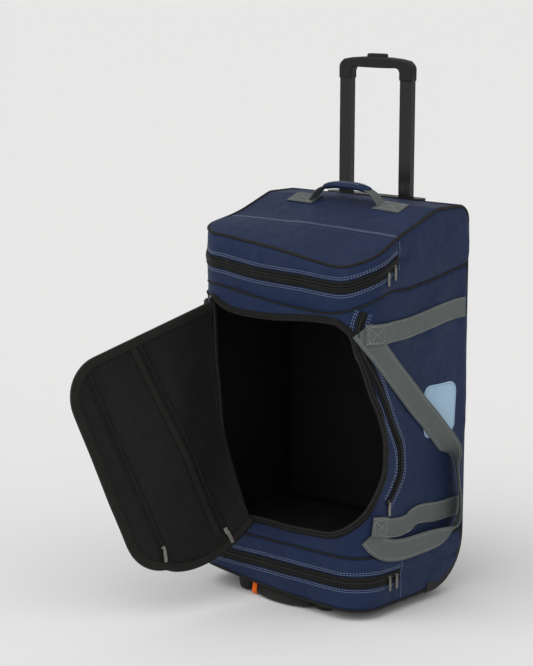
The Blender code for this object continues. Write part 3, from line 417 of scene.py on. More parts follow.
def add_stitches(builder, path, normals, pitch, stitch, width=0.001):
    """Adds a run of separate stitches that lie on a surface."""
    along = lengths(path)
    k = 0
    for n in range(int(along[-1] / pitch)):
        want = (n + 0.5) * pitch
        while k < len(along) - 2 and along[k + 1] < want:
            k += 1
        t = (want - along[k]) / max(along[k + 1] - along[k], 1e-9)
        place = path[k].lerp(path[k + 1], t)
        normal = normals[k].lerp(normals[k + 1], t).normalized()
        direction = (path[k + 1] - path[k]).normalized()
        wide = normal.cross(direction).normalized()
        rows = []
        for a, scale in ((-0.5, 0.35), (-0.3, 1.0), (0.3, 1.0), (0.5, 0.35)):
            middle = place + direction * (a * stitch) + normal * (0.0003 * scale)
            half = width / 2 * scale
            corners = ((-1, -0.6), (1, -0.6), (0.6, 0.6), (-0.6, 0.6))
            rows.append([middle + wide * (u * half) + normal * (v * half) for u, v in corners])
        add_capped(builder, rows, [[(0, 0)] * 5] * 4)


def cord(path, name, radius, body, slot, sides=8, **options):
    """Makes a round cord along a path."""
    builder = new_builder()
    add_tube(builder, path, radius, sides)
    put(builder, name, body, slot, **options)


def strap(path, widths, size, name, body, slot, swap=False, **options):
    """Makes a flat strap of a width and thickness along a path."""
    builder = new_builder()
    add_ribbon(builder, path, widths, *size, swap)
    put(builder, name, body, slot, **options)


def sew(runs, name, body, slot="thread", pitch=0.0062, stitch=0.0042, **options):
    """Makes one piece of the stitches along runs, each a path with its surface's directions."""
    builder = new_builder()
    for path, normals in runs:
        add_stitches(builder, path, normals, pitch, stitch)
    put(builder, name, body, slot, **options)


# ---- the soft body's surface


def smoothstep(t):
    t = min(max(t, 0.0), 1.0)
    return t * t * (3 - 2 * t)


def table(points, s):
    """Smooth value between given (place, value) pairs."""
    if s <= points[0][0]:
        return points[0][1]
    if s >= points[-1][0]:
        return points[-1][1]
    inner = [(vc - va) / (c - a) for (a, va), (c, vc) in zip(points, points[2:])]
    slopes = [0.0, *inner, 0.0]
    k = max(i for i, (a, _) in enumerate(points[:-1]) if s >= a)
    (a, va), (b, vb) = points[k], points[k + 1]
    gap = b - a
    t = (s - a) / gap
    rise = (2 * t**3 - 3 * t**2 + 1) * va + (3 * t**2 - 2 * t**3) * vb
    return rise + gap * ((t**3 - 2 * t**2 + t) * slopes[k] + (t**3 - t**2) * slopes[k + 1])


def footprint(s):
    """Place and outward direction at a distance round the body, from the front's middle."""
    side = 1.0 if s >= 0 else -1.0
    d = abs(s)
    if d <= FLAT:
        return Vector((side * d, FRONT_Y, 0)), Vector((0, -1, 0))
    if d <= S_SIDE:
        a = (d - FLAT) / CORNER
        out = Vector((side * math.sin(a), -math.cos(a), 0))
        return Vector((side * FLAT, FRONT_Y + CORNER, 0)) + out * CORNER, out
    return Vector((side * HALF, FRONT_Y + CORNER + d - S_SIDE, 0)), Vector((side, 0, 0))


def s_of(x, y):
    """Distance round the body of a place on its plan."""
    side = 1.0 if x >= 0 else -1.0
    x = abs(x)
    if y > FRONT_Y + CORNER:
        return side * (S_SIDE + y - FRONT_Y - CORNER)
    if x <= FLAT:
        return side * x
    return side * (FLAT + CORNER * math.atan2(x - FLAT, FRONT_Y + CORNER - y))


def seam_height(y):
    """Height of the top seam without its sag."""
    return 0.7 + 0.08 * min((y - FRONT_Y) / 0.22, 1.0)


def top_line(s):
    """Height of the top seam: it falls to the front, sags at one corner and turns down at the rear."""
    y = footprint(s)[0].y
    if y > REAR_Y - TOP_BEND:
        deep = min(y - REAR_Y + TOP_BEND, TOP_BEND * 0.97)
        return TOP_Z - TOP_BEND + math.sqrt(max(TOP_BEND**2 - deep**2, 0.0))
    sag = ((-0.34, 0.0), (-0.19, 0.02), (-0.09, 0.014), (0.0, 0.005))
    sag += ((0.09, -0.008), (0.15, -0.014), (0.21, -0.008), (0.3, 0.0))
    return seam_height(y) + table(sag, s)


def lid_line(s):
    y = min(footprint(s)[0].y, LID_Y)
    sag = ((-0.3, 0.0), (-0.17, 0.013), (-0.05, 0.002), (0.06, -0.001), (0.15, -0.005), (0.22, 0.0))
    return 0.652 + 0.45 * (y - FRONT_Y) + table(sag, s)


def divider_line(s):
    y = footprint(s)[0].y
    sag = ((-0.33, 0.0), (-0.17, 0.02), (-0.1, 0.012), (0.0, 0.0), (0.13, -0.005))
    sag += ((0.2, 0.01), (0.26, 0.02), (0.33, 0.008), (0.5, 0.0))
    return 0.6 + 0.065 * (y - FRONT_Y) / 0.32 + table(sag, s)


def bottom_line(s):
    y = footprint(s)[0].y
    sag = ((-0.36, 0.0), (-0.18, 0.02), (-0.08, 0.011), (0.05, 0.001), (0.2, -0.002), (0.4, 0.0))
    reach = y - (REAR_Y - BASE_BEND)
    height = BASE_Z
    if reach > 0:
        height += BASE_BEND - math.sqrt(max(BASE_BEND**2 - min(reach, BASE_BEND * 0.985) ** 2, 0.0))
    return height + table(sag, s)


def floor_line(s):
    return FLOOR_SEAM_Z


def low_zip_line(s):
    return LOW_ZIP_Z


def hump(t, power=0.6):
    return max(4 * t * (1 - t), 0.0) ** power


def swell(s, z):
    """How far the cloth stands out between its seams, with soft folds."""
    low, divider, lid, top = bottom_line(s), divider_line(s), lid_line(s), top_line(s)
    if z < LOW_ZIP_Z:
        out = 0.003 * hump((z - low) / max(LOW_ZIP_Z - low, 0.01))
    elif z < FLOOR_SEAM_Z:
        out = 0.004 * hump((z - LOW_ZIP_Z) / (FLOOR_SEAM_Z - LOW_ZIP_Z))
    elif z < divider:
        out = 0.0045 * hump((z - FLOOR_SEAM_Z) / (divider - FLOOR_SEAM_Z), 0.5)
    elif abs(s) >= S_LID + 0.02:
        out = 0.005 * hump((z - divider) / max(top - divider, 0.01))
    elif z < lid:
        out = 0.005 * hump((z - divider) / max(lid - divider, 0.01))
    else:
        out = 0.006 * hump((z - lid) / max(top - lid, 0.01))
    corner = 1.0 - 0.5 * smoothstep(1 - abs(abs(s) - 0.202) / 0.05)
    folds = noise.noise(Vector((s * 16, z * 11, 3.1))) * 0.003
    folds += noise.noise(Vector((s * 46 + z * 15, z * 34 - s * 12, 7.7))) * 0.0011
    folds += noise.noise(Vector((s, z, 0.0)) * 95) * 0.0004
    return out * corner + folds * min(1.0, 0.25 + out * 220)


def skin(s, z, out=0.0):
    """A point of the body's outer surface."""
    place, normal = footprint(s)
    return Vector((place.x, place.y, z)) + normal * (swell(s, z) + out)


def skin_normal(s, z):
    """Outward direction of the flat form under the swelling cloth."""
    step = 0.004
    a = skin(s + step, z) - skin(s - step, z)
    b = skin(s, z + step) - skin(s, z - step)
    return a.cross(b).normalized()


def on_skin(places, out=0.0):
    """Points and outward directions at places (s, z) of the body."""
    return [skin(p[0], p[1], out) for p in places], [skin_normal(p[0], p[1]) for p in places]


def add_wall(builder, s_values, low, high, count):
    rows = []
    for t in parts(0.0, 1.0, count):
        places = [(s, low(s) + (high(s) - low(s)) * t) for s in s_values]
        rows.append([(skin(*place), place) for place in places])
    add_cloth(builder, rows)


def weld(builder, distance=0.0004):
    bmesh.ops.remove_doubles(builder, verts=builder.verts, dist=distance)


# ---- pockets and main compartment


def half_width(y):
    """Half of the body's width at a depth."""
    if y < FRONT_Y + CORNER:
        deep = FRONT_Y + CORNER - y
        return FLAT + math.sqrt(max(CORNER**2 - deep**2, 0.0))
    return HALF


def panel_top(x, y):
    """Height of the top panel: it meets the seam all round and is slightly crowned."""
    edge = half_width(y)
    share = (x / edge + 1) / 2 if edge > 0 else 0.5
    left, right = top_line(s_of(-edge, y)), top_line(s_of(edge, y))
    height = left + (right - left) * share
    sag = ((-0.19, 0.02), (-0.09, 0.014), (0.0, 0.005), (0.09, -0.008), (0.15, -0.014))
    front_line = seam_height(y) + table(sag, x)
    height = front_line + (height - front_line) * max(0.0, min(1.0, (y - FRONT_Y) / 0.1))
    crown = 0.006 * hump(share, 0.7) * hump(min(max((y - FRONT_Y) / 0.32, 0.0), 1.0), 0.7)
    folds = noise.noise(Vector((x * 14, y * 14, 1.7))) * 0.0022
    folds += noise.noise(Vector((x * 50, y * 44, 4.2))) * 0.0006
    return height + crown + folds * hump(share, 0.5)


def on_panel(x, y, lift):
    return Vector((x, y, panel_top(x, y) + lift))


def add_top_panel(builder, start, end, count):
    rows = []
    for y in parts(start, end, count)[::-1]:
        xs = across(half_width(y), 44)[::-1]
        rows.append([(on_panel(x, y, 0.0), (x, y)) for x in xs])
    add_cloth(builder, rows)


def top_pocket():
    """The fixed part of the top pocket and its lid."""
    fixed, lid = new_builder(), new_builder()
    lid_values = spread(-S_LID, S_LID, 0.0085)
    left, right = spread(-S_REAR, -S_LID, 0.0095), spread(S_LID, S_REAR, 0.0095)
    add_wall(fixed, left[:-1] + lid_values + right[1:], divider_line, lambda s: lid_line(s) - 0.0005, 8)
    for values in (left, right):
        add_wall(fixed, values, lambda s: lid_line(s) - 0.0005, top_line, 14)
    weld(fixed)
    put_shell(fixed, "top_pocket_body", "root", "top_shell")
    add_wall(lid, lid_values, lambda s: lid_line(s) + 0.0005, top_line, 9)
    add_top_panel(lid, FRONT_Y, LID_Y - 0.0004, 14)
    put_shell(lid, "top_pocket_lid", "lid", "top_lid")


def base_lift(x, y):
    """How much the soft base is drawn up at the front."""
    front = table(((-0.18, 0.02), (-0.08, 0.011), (0.05, 0.001), (0.2, -0.002)), x)
    return front * (1 - smoothstep((y - FRONT_Y) / 0.16))


def belt_path():
    """Side view of the panel that runs over the top, down the back and under the bag."""
    path = arc((REAR_Y - TOP_BEND, TOP_Z - TOP_BEND), TOP_BEND, 90, 0, 8)
    path += [(REAR_Y, z) for z in spread(0.735, 0.13, 0.018)]
    path += arc((REAR_Y - BASE_BEND, BASE_Z + BASE_BEND), BASE_BEND, 0, -90, 12)
    return path + [(y, BASE_Z) for y in spread(0.055, FRONT_Y, 0.012)]


def back_and_base():
    """Top panel behind the lid, back panel and base, one long strip of cloth."""
    builder = new_builder()
    add_top_panel(builder, LID_Y + 0.0004, REAR_Y - TOP_BEND, 22)
    path = belt_path()
    rows = []
    for (y, z), length in zip(path, lengths([Vector((0, y, z)) for y, z in path])):
        edge = half_width(y)
        row = []
        for x in across(-edge, 44):
            share = (1 - x / max(edge, 0.01)) / 2
            puff = 0.004 * hump(share, 0.5) * (1 if y > 0.12 and 0.13 < z < 0.76 else 0)
            puff += noise.noise(Vector((x * 15, z * 13, y * 9 + 5))) * 0.0015 * hump(share, 0.4)
            lift = base_lift(x, y) if z < BASE_Z + 0.001 else 0.0
            row.append((Vector((x, y + (puff if y > 0.12 else 0), z + lift)), (x, length)))
        rows.append(row)
    add_cloth(builder, rows)
    weld(builder)
    low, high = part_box("wheel_housing_right")
    gone = []
    for face in builder.faces:
        middle = face.calc_center_median()
        if abs(middle.x) > low[0] - 0.001 and middle.y > low[1] - BAG_Y and middle.z < high[2]:
            gone.append(face)
    bmesh.ops.delete(builder, geom=gone, context="FACES")
    put_shell(builder, "back_and_base", "root", "back_cover")


def bottom_pocket():
    """Shoe pocket under the main compartment."""
    builder = new_builder()
    values = spread(-S_REAR, S_REAR, 0.0085)
    lines = (
        bottom_line,
        lambda s: max(LOW_ZIP_Z, bottom_line(s) + 0.004),
        lambda s: max(FLOOR_SEAM_Z, bottom_line(s) + 0.008),
    )
    for low, high in zip(lines, lines[1:]):
        add_wall(builder, values, low, high, 7)
    weld(builder)
    put_shell(builder, "bottom_pocket", "root", "bottom_shell")


def opening_outline():
    """The edge of the front opening as (s, z): top, right, bottom and left, clockwise."""
    corners = (-0.166, 0.592), (0.15, 0.578), (0.17, 0.18), (-0.082, 0.16)
    top = [(-0.14, 0.5765), (-0.1, 0.569), (-0.018, 0.568), (0.084, 0.577)]
    right = [(0.178, 0.56), (0.19, 0.528), (0.203, 0.493), (0.2188, 0.444), (0.239, 0.393), (0.25, 0.352)]
    right += [(0.252, 0.314), (0.245, 0.276), (0.231, 0.247), (0.212, 0.216), (0.191, 0.195)]
    bottom = [(0.138, 0.168), (0.062, 0.163), (-0.005, 0.164), (-0.05, 0.164)]
    left = [(-0.091, 0.198), (-0.134, 0.311), (-0.1505, 0.429), (-0.16, 0.52)]
    ends = (*corners[1:], corners[0])
    sides = (top, right, bottom, left)
    return [smooth_path([start, *side, end]) for start, side, end in zip(corners, sides, ends)]


def main_compartment():
    """The main shell with its opening, the lining, and the bound edge."""
    builder = new_builder()
    reach, rings = 0.3, 12
    outer_sides = (
        [(s, divider_line(s)) for s in parts(-reach, reach, 40)],
        [(reach, z) for z in parts(divider_line(reach), FLOOR_SEAM_Z, 46)],
        [(s, FLOOR_SEAM_Z) for s in parts(reach, -reach, 30)],
        [(-reach, z) for z in parts(FLOOR_SEAM_Z, divider_line(-reach), 46)],
    )
    inner, outer = [], []
    for side, rim in zip(opening_outline(), outer_sides):
        inner += resample(side, lengths(side)[-1] / (len(rim) - 1))[:-1]
        outer += rim[:-1]
    rows, uvs = [], []
    for r in range(rings + 1):
        t = (r / rings) ** 1.25
        flat = [(a[0] + (b[0] - a[0]) * t, a[1] + (b[1] - a[1]) * t) for a, b in zip(inner, outer)]
        roll = -0.0035 * (1 - smoothstep(r / 2.0))
        rows.append([skin(s, z, roll) for s, z in flat])
        uvs.append([*flat, flat[0]])
    add_grid(builder, rows, uvs, closed=True)
    for ends in ((-S_REAR, -reach), (reach, S_REAR)):
        add_wall(builder, spread(*ends, 0.0105), floor_line, divider_line, 46)
    weld(builder, 0.0006)
    put_shell(builder, "main_compartment", "root", "main_shell")
    edge = resample([skin(p.x, p.y, 0.0002) for p in inner], SEAM_STEP, closed=True)
    cord(edge + edge[:1], "opening_binding", 0.0036, "root", "binding", sides=10)
    opening_zip(inner)
    lining_box()


def opening_zip(outline):
    """The half of the main zip that is sewn round the front opening."""
    loop = resample(outline, SEAM_STEP, closed=True)
    count = len(loop)
    sideways = []
    for i in range(count):
        direction = (loop[(i + 2) % count] - loop[i - 2]).normalized()
        sideways.append(Vector((-direction.y, direction.x, 0)))

    def ring(offset, out):
        moved = [p + n * offset for p, n in zip(loop, sideways)]
        return [skin(p.x, p.y, out) for p in moved]

    tape = new_builder()
    rows = [ring(0.0015, 0.001), ring(0.004, 0.002), ring(0.0085, 0.0018), ring(0.0105, 0.0006)]
    uvs = [[(offset, i * SEAM_STEP) for i in range(count + 1)] for offset in (0.0, 0.003, 0.007, 0.009)]
    add_grid(tape, rows, uvs, closed=True)
    put(tape, "opening_zip_tape", "root", "tape", depth=0.001)
    line = ring(0.0045, 0.003)
    cord(line + line[:1], "opening_zip_coil", 0.0015, "root", "coil")


def lining_box():
    """Floor, ceiling and back of the lining, slightly creased."""
    builder = new_builder()
    inset, rear = 0.008, 0.122

    def crease(x, y, z):
        return noise.noise(Vector((x * 13, y * 13 + 2, z * 13))) * 0.0035

    for line, lift in ((floor_line, 0.006), (divider_line, -0.01)):
        rows = []
        for y in spread(FRONT_Y + inset, rear, 0.014):
            row = []
            for x in across(half_width(y) - inset, 24):
                height = line(s_of(x if abs(x) > 0.01 else 0.01, y)) + lift
                row.append((Vector((x, y, height + crease(x, y, 0.3))), (x, y)))
            rows.append(row)
        add_cloth(builder, rows)
    xs = across(HALF - inset, 24)
    rows = []
    for z in spread(FLOOR_SEAM_Z + 0.004, 0.648, 0.014):
        rows.append([(Vector((x, rear + crease(x, 0.4, z), z)), (x, z)) for x in xs])
    add_cloth(builder, rows)
    put(builder, "lining_box", "root", "lining", node="main_lining", depth=0.0012)


# ---- seams, zips and stitching


def wall_path(line, start, end, out=0.0):
    """Points and outward directions along a line round the body."""
    return on_skin([(s, line(s)) for s in spread(start, end, SEAM_STEP)], out)


def piping():
    """Corded seams: dividers, top edge, base edge and the upright rear edges."""
    for name, line in (("piping_upper", divider_line), ("piping_lower", floor_line)):
        path = wall_path(line, -S_REAR, S_REAR, 0.0004)[0]
        cord(path, f"{name}_cord", 0.0021, "root", "binding", node=name)
    path = wall_path(top_line, -S_LID, S_LID, 0.0002)[0]
    cord(path, "lid_edge_cord", 0.003, "lid", "binding", sides=10)
    rear = new_builder()
    for side in (-1, 1):
        path = wall_path(top_line, side * S_LID, side * (S_REAR - 0.031), 0.0002)[0]
        path += [Vector((side * HALF, y, z)) for y, z in belt_path() if y > 0.054]
        add_tube(rear, resample(path, 0.007), 0.003, 8)
    put(rear, "rear_edge_cords", "root", "binding")
    end = s_of(HALF, 0.06)
    cord(wall_path(bottom_line, -end, end)[0], "base_edge_cord", 0.0028, "root", "binding")


def zip_band(name, line, end, low, high, body, coil_at, node=None):
    """A strip of zip tape along a line of the body, with its coil along one edge or the middle."""
    builder = new_builder()
    values = spread(-end, end, SEAM_STEP)
    rows = []
    for t in parts(0.0, 1.0, 4):
        places = [(s, line(s) + low + (high - low) * t) for s in values]
        rows.append([(skin(*place, 0.0018 if 0 < t < 1 else 0.001), place) for place in places])
    add_cloth(builder, rows)
    put(builder, name, body, "tape", node=node, depth=0.0012, offset=1.0)
    cord([skin(s, line(s) + coil_at, 0.0034) for s in values], f"{name}_coil", 0.0018, body, "coil")


def zips():
    half = TAPE / 2
    zip_band("zip_top_lower_tape", lid_line, S_LID, -half, -0.0006, "root", -0.0022, "zip_top")
    zip_band("zip_top_upper_tape", lid_line, S_LID, 0.0006, half, "lid", 0.0022)
    end = s_of(HALF, LOW_ZIP_END_Y)
    zip_band("zip_bottom_tape", low_zip_line, end, -half, half, "root", 0.0, "zip_bottom")


def stitch_lines():
    """Rows of pale stitching beside the zips and seams."""
    end = s_of(HALF, LOW_ZIP_END_Y)

    def beside(line, offset, reach):
        return wall_path(lambda s: line(s) + offset, -reach, reach, STITCH_OUT)

    def upright(s, low, high):
        return on_skin([(s, z) for z in spread(low, high - 0.004, SEAM_STEP)], STITCH_OUT)

    runs = [beside(low_zip_line, offset, end) for offset in (*STITCH_ROWS, *(-row for row in STITCH_ROWS))]
    runs += [beside(lid_line, -row, S_LID) for row in STITCH_ROWS]
    for side in (-1, 1):
        s_stop, s_low = side * (S_LID + 0.004), side * (end + 0.006)
        runs.append(upright(s_stop, lid_line(s_stop) - 0.02, top_line(s_stop)))
        runs.append(upright(s_low, bottom_line(s_low) + 0.006, FLOOR_SEAM_Z))
    for y in (LID_Y + 0.004, LID_Y + 0.0075):
        path = [on_panel(x, y, STITCH_OUT) for x in spread(-HALF + 0.004, HALF - 0.004, 0.008)]
        runs.append((path, [Vector((0, -0.3, 1)).normalized()] * len(path)))
    sew(runs, "body_stitching", "root")
    sew([beside(lid_line, row, S_LID) for row in STITCH_ROWS], "lid_stitching", "lid")


def side_zip_line(shift=0.0):
    """The side pocket's zip, as (s, z), moved sideways by shift."""
    points = [(0.205, 0.603), (0.196, 0.575), (0.1975, 0.545), (0.2075, 0.515), (0.223, 0.485)]
    points += [(0.248, 0.432), (0.272, 0.384), (0.294, 0.342), (0.302, 0.304), (0.3, 0.275)]
    points += [(0.284, 0.248), (0.262, 0.223)]
    path = smooth_path(points, 6)
    return [p + Vector((-d.y, d.x, 0)) * shift for p, d in zip(path, tangents(path))]


def side_pocket():
    """Zip and stitching of the flat pocket on the right side."""
    tape = new_builder()
    low, high = side_zip_line(-0.0075), side_zip_line(0.0075)
    rows = []
    for t in (0.0, 0.33, 0.66, 1.0):
        row = [p.lerp(q, t) for p, q in zip(low, high)]
        rows.append([(skin(p.x, p.y, 0.0012), (p.y, p.x)) for p in row])
    add_cloth(tape, rows)
    put(tape, "side_zip_tape", "root", "tape", node="zip_side", depth=0.0012)
    cord([skin(p.x, p.y, 0.003) for p in side_zip_line()], "side_zip_coil", 0.0018, "root", "coil")
    lines = [side_zip_line(shift) for shift in (0.011, 0.015, -0.011, -0.015)]
    sew([on_skin(line, STITCH_OUT) for line in lines], "side_stitching", "root")


# ---- webbing


def wall_place(y):
    """Distance round the body of a place on a side wall, as if the wall ran on flat."""
    return S_SIDE + y - FRONT_Y - CORNER


def unrolled(side, y, z, out):
    """A place over a side wall; y runs on round the front corner as if the wall were flat."""
    return skin(side * wall_place(y), z, out)


def strap_lift(y):
    """The straps' front ends lie over the haul loops' ends."""
    return 0.0024 + 0.0042 * smoothstep((-0.06 - y) / 0.035)


def strap_on_side(name, side, points, node):
    """A strap sewn flat on one side of the body; points are (y, z) of its middle."""
    line = smooth_path(points, 6)

    def run(rise, lift=0.0):
        return [unrolled(side, p.x, p.y + rise, strap_lift(p.x) + lift) for p in line]

    path = run(0.0)
    widths = [b - a for a, b in zip(path, run(0.02))]
    strap(path, widths, (WEB, WEB_THICK), name, "root", "webbing", node=node)
    runs = [(run(offset, 0.0013), [Vector((side, 0, 0))] * len(line)) for offset in (-0.0168, 0.0168)]
    sew(runs, f"{name}_stitching", "root", "grey_thread")


def haul_loop(side, name):
    """Free loop of webbing: flat on both runs, edge on where it turns at the rear."""
    # Each point: place (y, z), distance from the wall, and the width's share outwards, along and up
    points = (
        (-0.138, 0.569, 0.0026, 0.0, 0.7, 0.71), (-0.122, 0.547, 0.003, 0.03, 0.72, 0.69),
        (-0.102, 0.52, 0.0046, 0.1, 0.74, 0.66), (-0.072, 0.483, 0.0075, 0.2, 0.74, 0.64),
        (-0.036, 0.445, 0.01, 0.28, 0.72, 0.64), (0.002, 0.407, 0.012, 0.32, 0.7, 0.64),
        (0.036, 0.375, 0.014, 0.35, 0.68, 0.64), (0.066, 0.344, 0.0165, 0.42, 0.62, 0.64),
        (0.09, 0.318, 0.019, 0.55, 0.32, 0.6), (0.106, 0.296, 0.021, 0.68, -0.28, 0.4),
        (0.113, 0.272, 0.022, 0.7, -0.66, 0.15), (0.12, 0.24, 0.0225, 0.68, -0.73, 0.05),
        (0.129, 0.205, 0.0225, 0.68, -0.73, 0.0), (0.132, 0.175, 0.0225, 0.68, -0.73, 0.0),
        (0.124, 0.15, 0.0215, 0.75, -0.6, 0.25), (0.106, 0.134, 0.0195, 0.6, -0.2, 0.75),
        (0.076, 0.13, 0.017, 0.3, -0.05, 0.95), (0.045, 0.129, 0.0145, 0.12, 0.0, 1.0),
        (0.015, 0.128, 0.012, 0.05, 0.0, 1.0), (-0.018, 0.127, 0.0095, 0.0, 0.0, 1.0),
        (-0.05, 0.129, 0.007, 0.0, 0.06, 1.0), (-0.08, 0.136, 0.0048, 0.0, 0.22, 0.97),
        (-0.104, 0.15, 0.0032, 0.0, 0.48, 0.88), (-0.118, 0.168, 0.0026, 0.0, 0.72, 0.69),
    )
    places, widths = [], []
    for y, z, out, a, b, c in points:
        places.append(unrolled(side, y, z, out))
        outward = footprint(side * wall_place(y))[1]
        along = Vector((-outward.y * side, outward.x * side, 0))
        widths.append(outward * a + along * b + UP * c)
    places, widths = smooth_path(places, 5), smooth_path(widths, 5)
    options = {"fold": [Vector((side * HALF, y, 0.35)) for y in (-0.106, -0.05)]}
    sheet = {"flat": (LOOP_WEB, lengths(places)[-1])}
    size, body = (LOOP_WEB, WEB_THICK), f"haul_{name}"
    loop = f"haul_loop_{name}"
    strap(places, widths, size, f"haul_loop_cloth_{name}", body, "webbing", node=loop, sheet=sheet, **options)
    runs = []
    for offset, face in ((-0.0165, -1), (-0.0165, 1), (0.0165, -1), (0.0165, 1)):
        path, normals = [], []
        for place, wide, direction in zip(places, widths, tangents(places)):
            wide = (wide - direction * wide.dot(direction)).normalized()
            normals.append(direction.cross(wide) * face)
            path.append(place + wide * offset + normals[-1] * (WEB_THICK / 2))
        runs.append((path, normals))
    sew(runs, f"haul_loop_stitching_{name}", body, "grey_thread", **options)


def box_stitch(name, side, y, z, size):
    """A sewn square with a cross in it, where a strap is anchored."""
    outward = footprint(side * wall_place(y))[1]
    runs = []
    for run in box_runs(y, z, size, size):
        path = [unrolled(side, p.x, p.y, strap_lift(p.x) + 0.0014) for p in run]
        runs.append((path, [outward] * len(path)))
    sew(runs, name, "root", "grey_thread")


def webbing():
    """Sewn straps and haul loops of both sides."""
    upper = [(-0.132, 0.5605), (-0.11, 0.56), (-0.07, 0.56), (-0.035, 0.5605), (0.0, 0.563)]
    upper += [(0.04, 0.569), (0.085, 0.576), (0.125, 0.579), (0.16, 0.58)]
    lower = [(-0.116, 0.188), (-0.096, 0.185), (-0.07, 0.1765), (-0.042, 0.173), (-0.012, 0.1755)]
    lower += [(0.004, 0.184), (0.035, 0.185), (0.08, 0.18), (0.125, 0.179), (0.16, 0.18)]
    for side, name in SIDES:
        strap_on_side(f"upper_strap_{name}", side, upper, f"strap_upper_{name}")
        strap_on_side(f"lower_strap_{name}", side, lower, f"strap_lower_{name}")
        haul_loop(side, name)
        box_stitch(f"upper_box_stitch_{name}", side, -0.112, 0.56, 0.03)
        box_stitch(f"lower_box_stitch_{name}", side, -0.098, 0.185, 0.029)


def side_patch():
    """A plain woven patch with a sewn border on the right side."""
    middle_y, middle_z, half, radius = 0.083, 0.385, 0.052, 0.022
    outline = []
    for cy, cz, start in ((1, 1, 0), (-1, 1, 90), (-1, -1, 180), (1, -1, 270)):
        centre = (middle_y + cy * (half - radius), middle_z + cz * (half - radius))
        outline += arc(centre, radius, start, start + 90, 6)

    def scaled(share):
        return [(middle_y + (y - middle_y) * share, middle_z + (z - middle_z) * share) for y, z in outline]

    patch = new_builder()
    rows, uvs = [], []
    for share, out in ((1.0, 0.0004), *[(share, 0.0016) for share in (0.985, 0.8, 0.55, 0.3, 0.02)]):
        places = scaled(share)
        rows.append([skin(s_of(HALF, y), z, out) for y, z in places])
        uvs.append([*places, places[0]])
    verts = add_grid(patch, rows, uvs, closed=True)
    add_face(patch, verts[-1], uvs[-1][:-1])
    put(patch, "side_patch", "root", "patch")
    ring = scaled(0.93)
    path = resample([skin(s_of(HALF, y), z, 0.0018) for y, z in [*ring, ring[0]]], 0.004)
    run = (path, [Vector((1, 0, 0))] * len(path))
    sew([run], "side_patch_stitching", "root", pitch=0.0034, stitch=0.0026)


# ---- handles


def top_handle():
    """Padded carry handle with its webbing ends and sewn patches."""
    middle = centre_of("top_handle")
    middle_x, y, base = middle.x, middle.y, 0.7765
    sides = ((0.088, 0.001), (0.08, 0.012), (0.064, 0.0255), (0.036, 0.0335))
    left = [(-x, y, base + z) for x, z in sides]
    arch = smooth_path([*left, (0.0, y, base + 0.035), *[(-x, v, z) for x, v, z in reversed(left)]], 6)
    arch = [Vector((p.x + middle_x, p.y, p.z)) for p in arch]
    foot = Vector((middle_x, y, base))
    fold, widths = (foot, foot + UP * 0.016), [(0, 1, 0)] * len(arch)
    strap(arch, widths, (0.026, 0.0028), "handle_strap", "top_handle", "webbing", fold=fold)
    inner = [p for p in arch if abs(p.x - middle_x) < 0.058]
    pad = new_builder()
    rows, uvs = [], []
    for i, (p, d, length) in enumerate(zip(inner, tangents(inner), lengths(inner))):
        grow = 0.55 + 0.45 * hump(i / (len(inner) - 1), 0.35)
        wide, thick = 0.017 * grow, 0.0075 * grow
        up = d.cross(REARWARD).normalized()
        ring = [(wide * math.cos(a), thick * math.sin(a)) for a in ring_of(16)]
        rows.append([p + REARWARD * a + up * b for a, b in ring])
        uvs.append([(k * 0.005, length) for k in range(17)])
    add_capped(pad, rows, uvs)
    put(pad, "handle_pad", "top_handle", "navy", node="top_handle")
    paths = [[p + Vector((0, offset, 0.0064)) for p in inner[3:-3]] for offset in (-0.0105, 0.0105)]
    sew([(path, [UP] * len(path)) for path in paths], "handle_stitching", "top_handle")
    patches, runs = new_builder(), []
    slope = (0, 1, (panel_top(middle_x, y + 0.02) - panel_top(middle_x, y - 0.02)) / 0.04)
    for side in (-1, 1):
        xs = spread(middle_x + side * 0.078, middle_x + side * 0.143, 0.008)
        add_ribbon(patches, [on_panel(x, y, 0.0018) for x in xs], [slope] * len(xs), 0.038, 0.0026)
        for run in box_runs(middle_x + side * 0.112, y, 0.05, 0.028):
            runs.append(([on_panel(p.x, p.y, 0.0033) for p in run], [UP] * len(run)))
    put(patches, "handle_patches", "root", "webbing", node="top_handle_base")
    sew(runs, "handle_patch_stitching", "root", "grey_thread")


def box_runs(x, y, wide, deep):
    """The four sides and two diagonals of a box, each as a run of flat points."""
    a, b = wide / 2, deep / 2
    corners = [(x - a, y - b), (x + a, y - b), (x + a, y + b), (x - a, y + b), (x - a, y - b), (x + a, y + b)]
    runs = [*zip(corners, corners[1:]), ((x + a, y - b), (x - a, y + b))]
    steps = parts(0, 1, 5)
    return [[Vector((p[0] + (q[0] - p[0]) * t, p[1] + (q[1] - p[1]) * t, 0)) for t in steps] for p, q in runs]


def bottom_handle():
    """Ribbed grab handle under the front edge, with its tab."""
    low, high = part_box("bottom_handle")
    path = []
    for x, t in zip(parts(low[0], high[0], 24), parts(0, 1, 24)):
        bow = math.sin(math.pi * t) ** 0.7
        path.append(Vector((x, -0.134 - 0.014 * bow, 0.016 - 0.0035 * bow)))
    widths, body = [(0, 0.45, 0.89)] * len(path), "bottom_handle"
    strap(path, widths, (0.021, 0.003), "bottom_handle_strap", body, "handle_web", swap=True, node=body)
    x, tab = centre_of("bottom_handle_tab").x, "bottom_handle_tab"
    loop = smooth_path([(x, -0.136, 0.029), (x, -0.139, 0.02), (x, -0.141, 0.007), (x, -0.138, 0.0026)], 5)
    strap(loop, [(1, 0, 0)] * len(loop), (0.0125, 0.0034), "handle_tab", body, "orange", node=tab)


# ---- flap


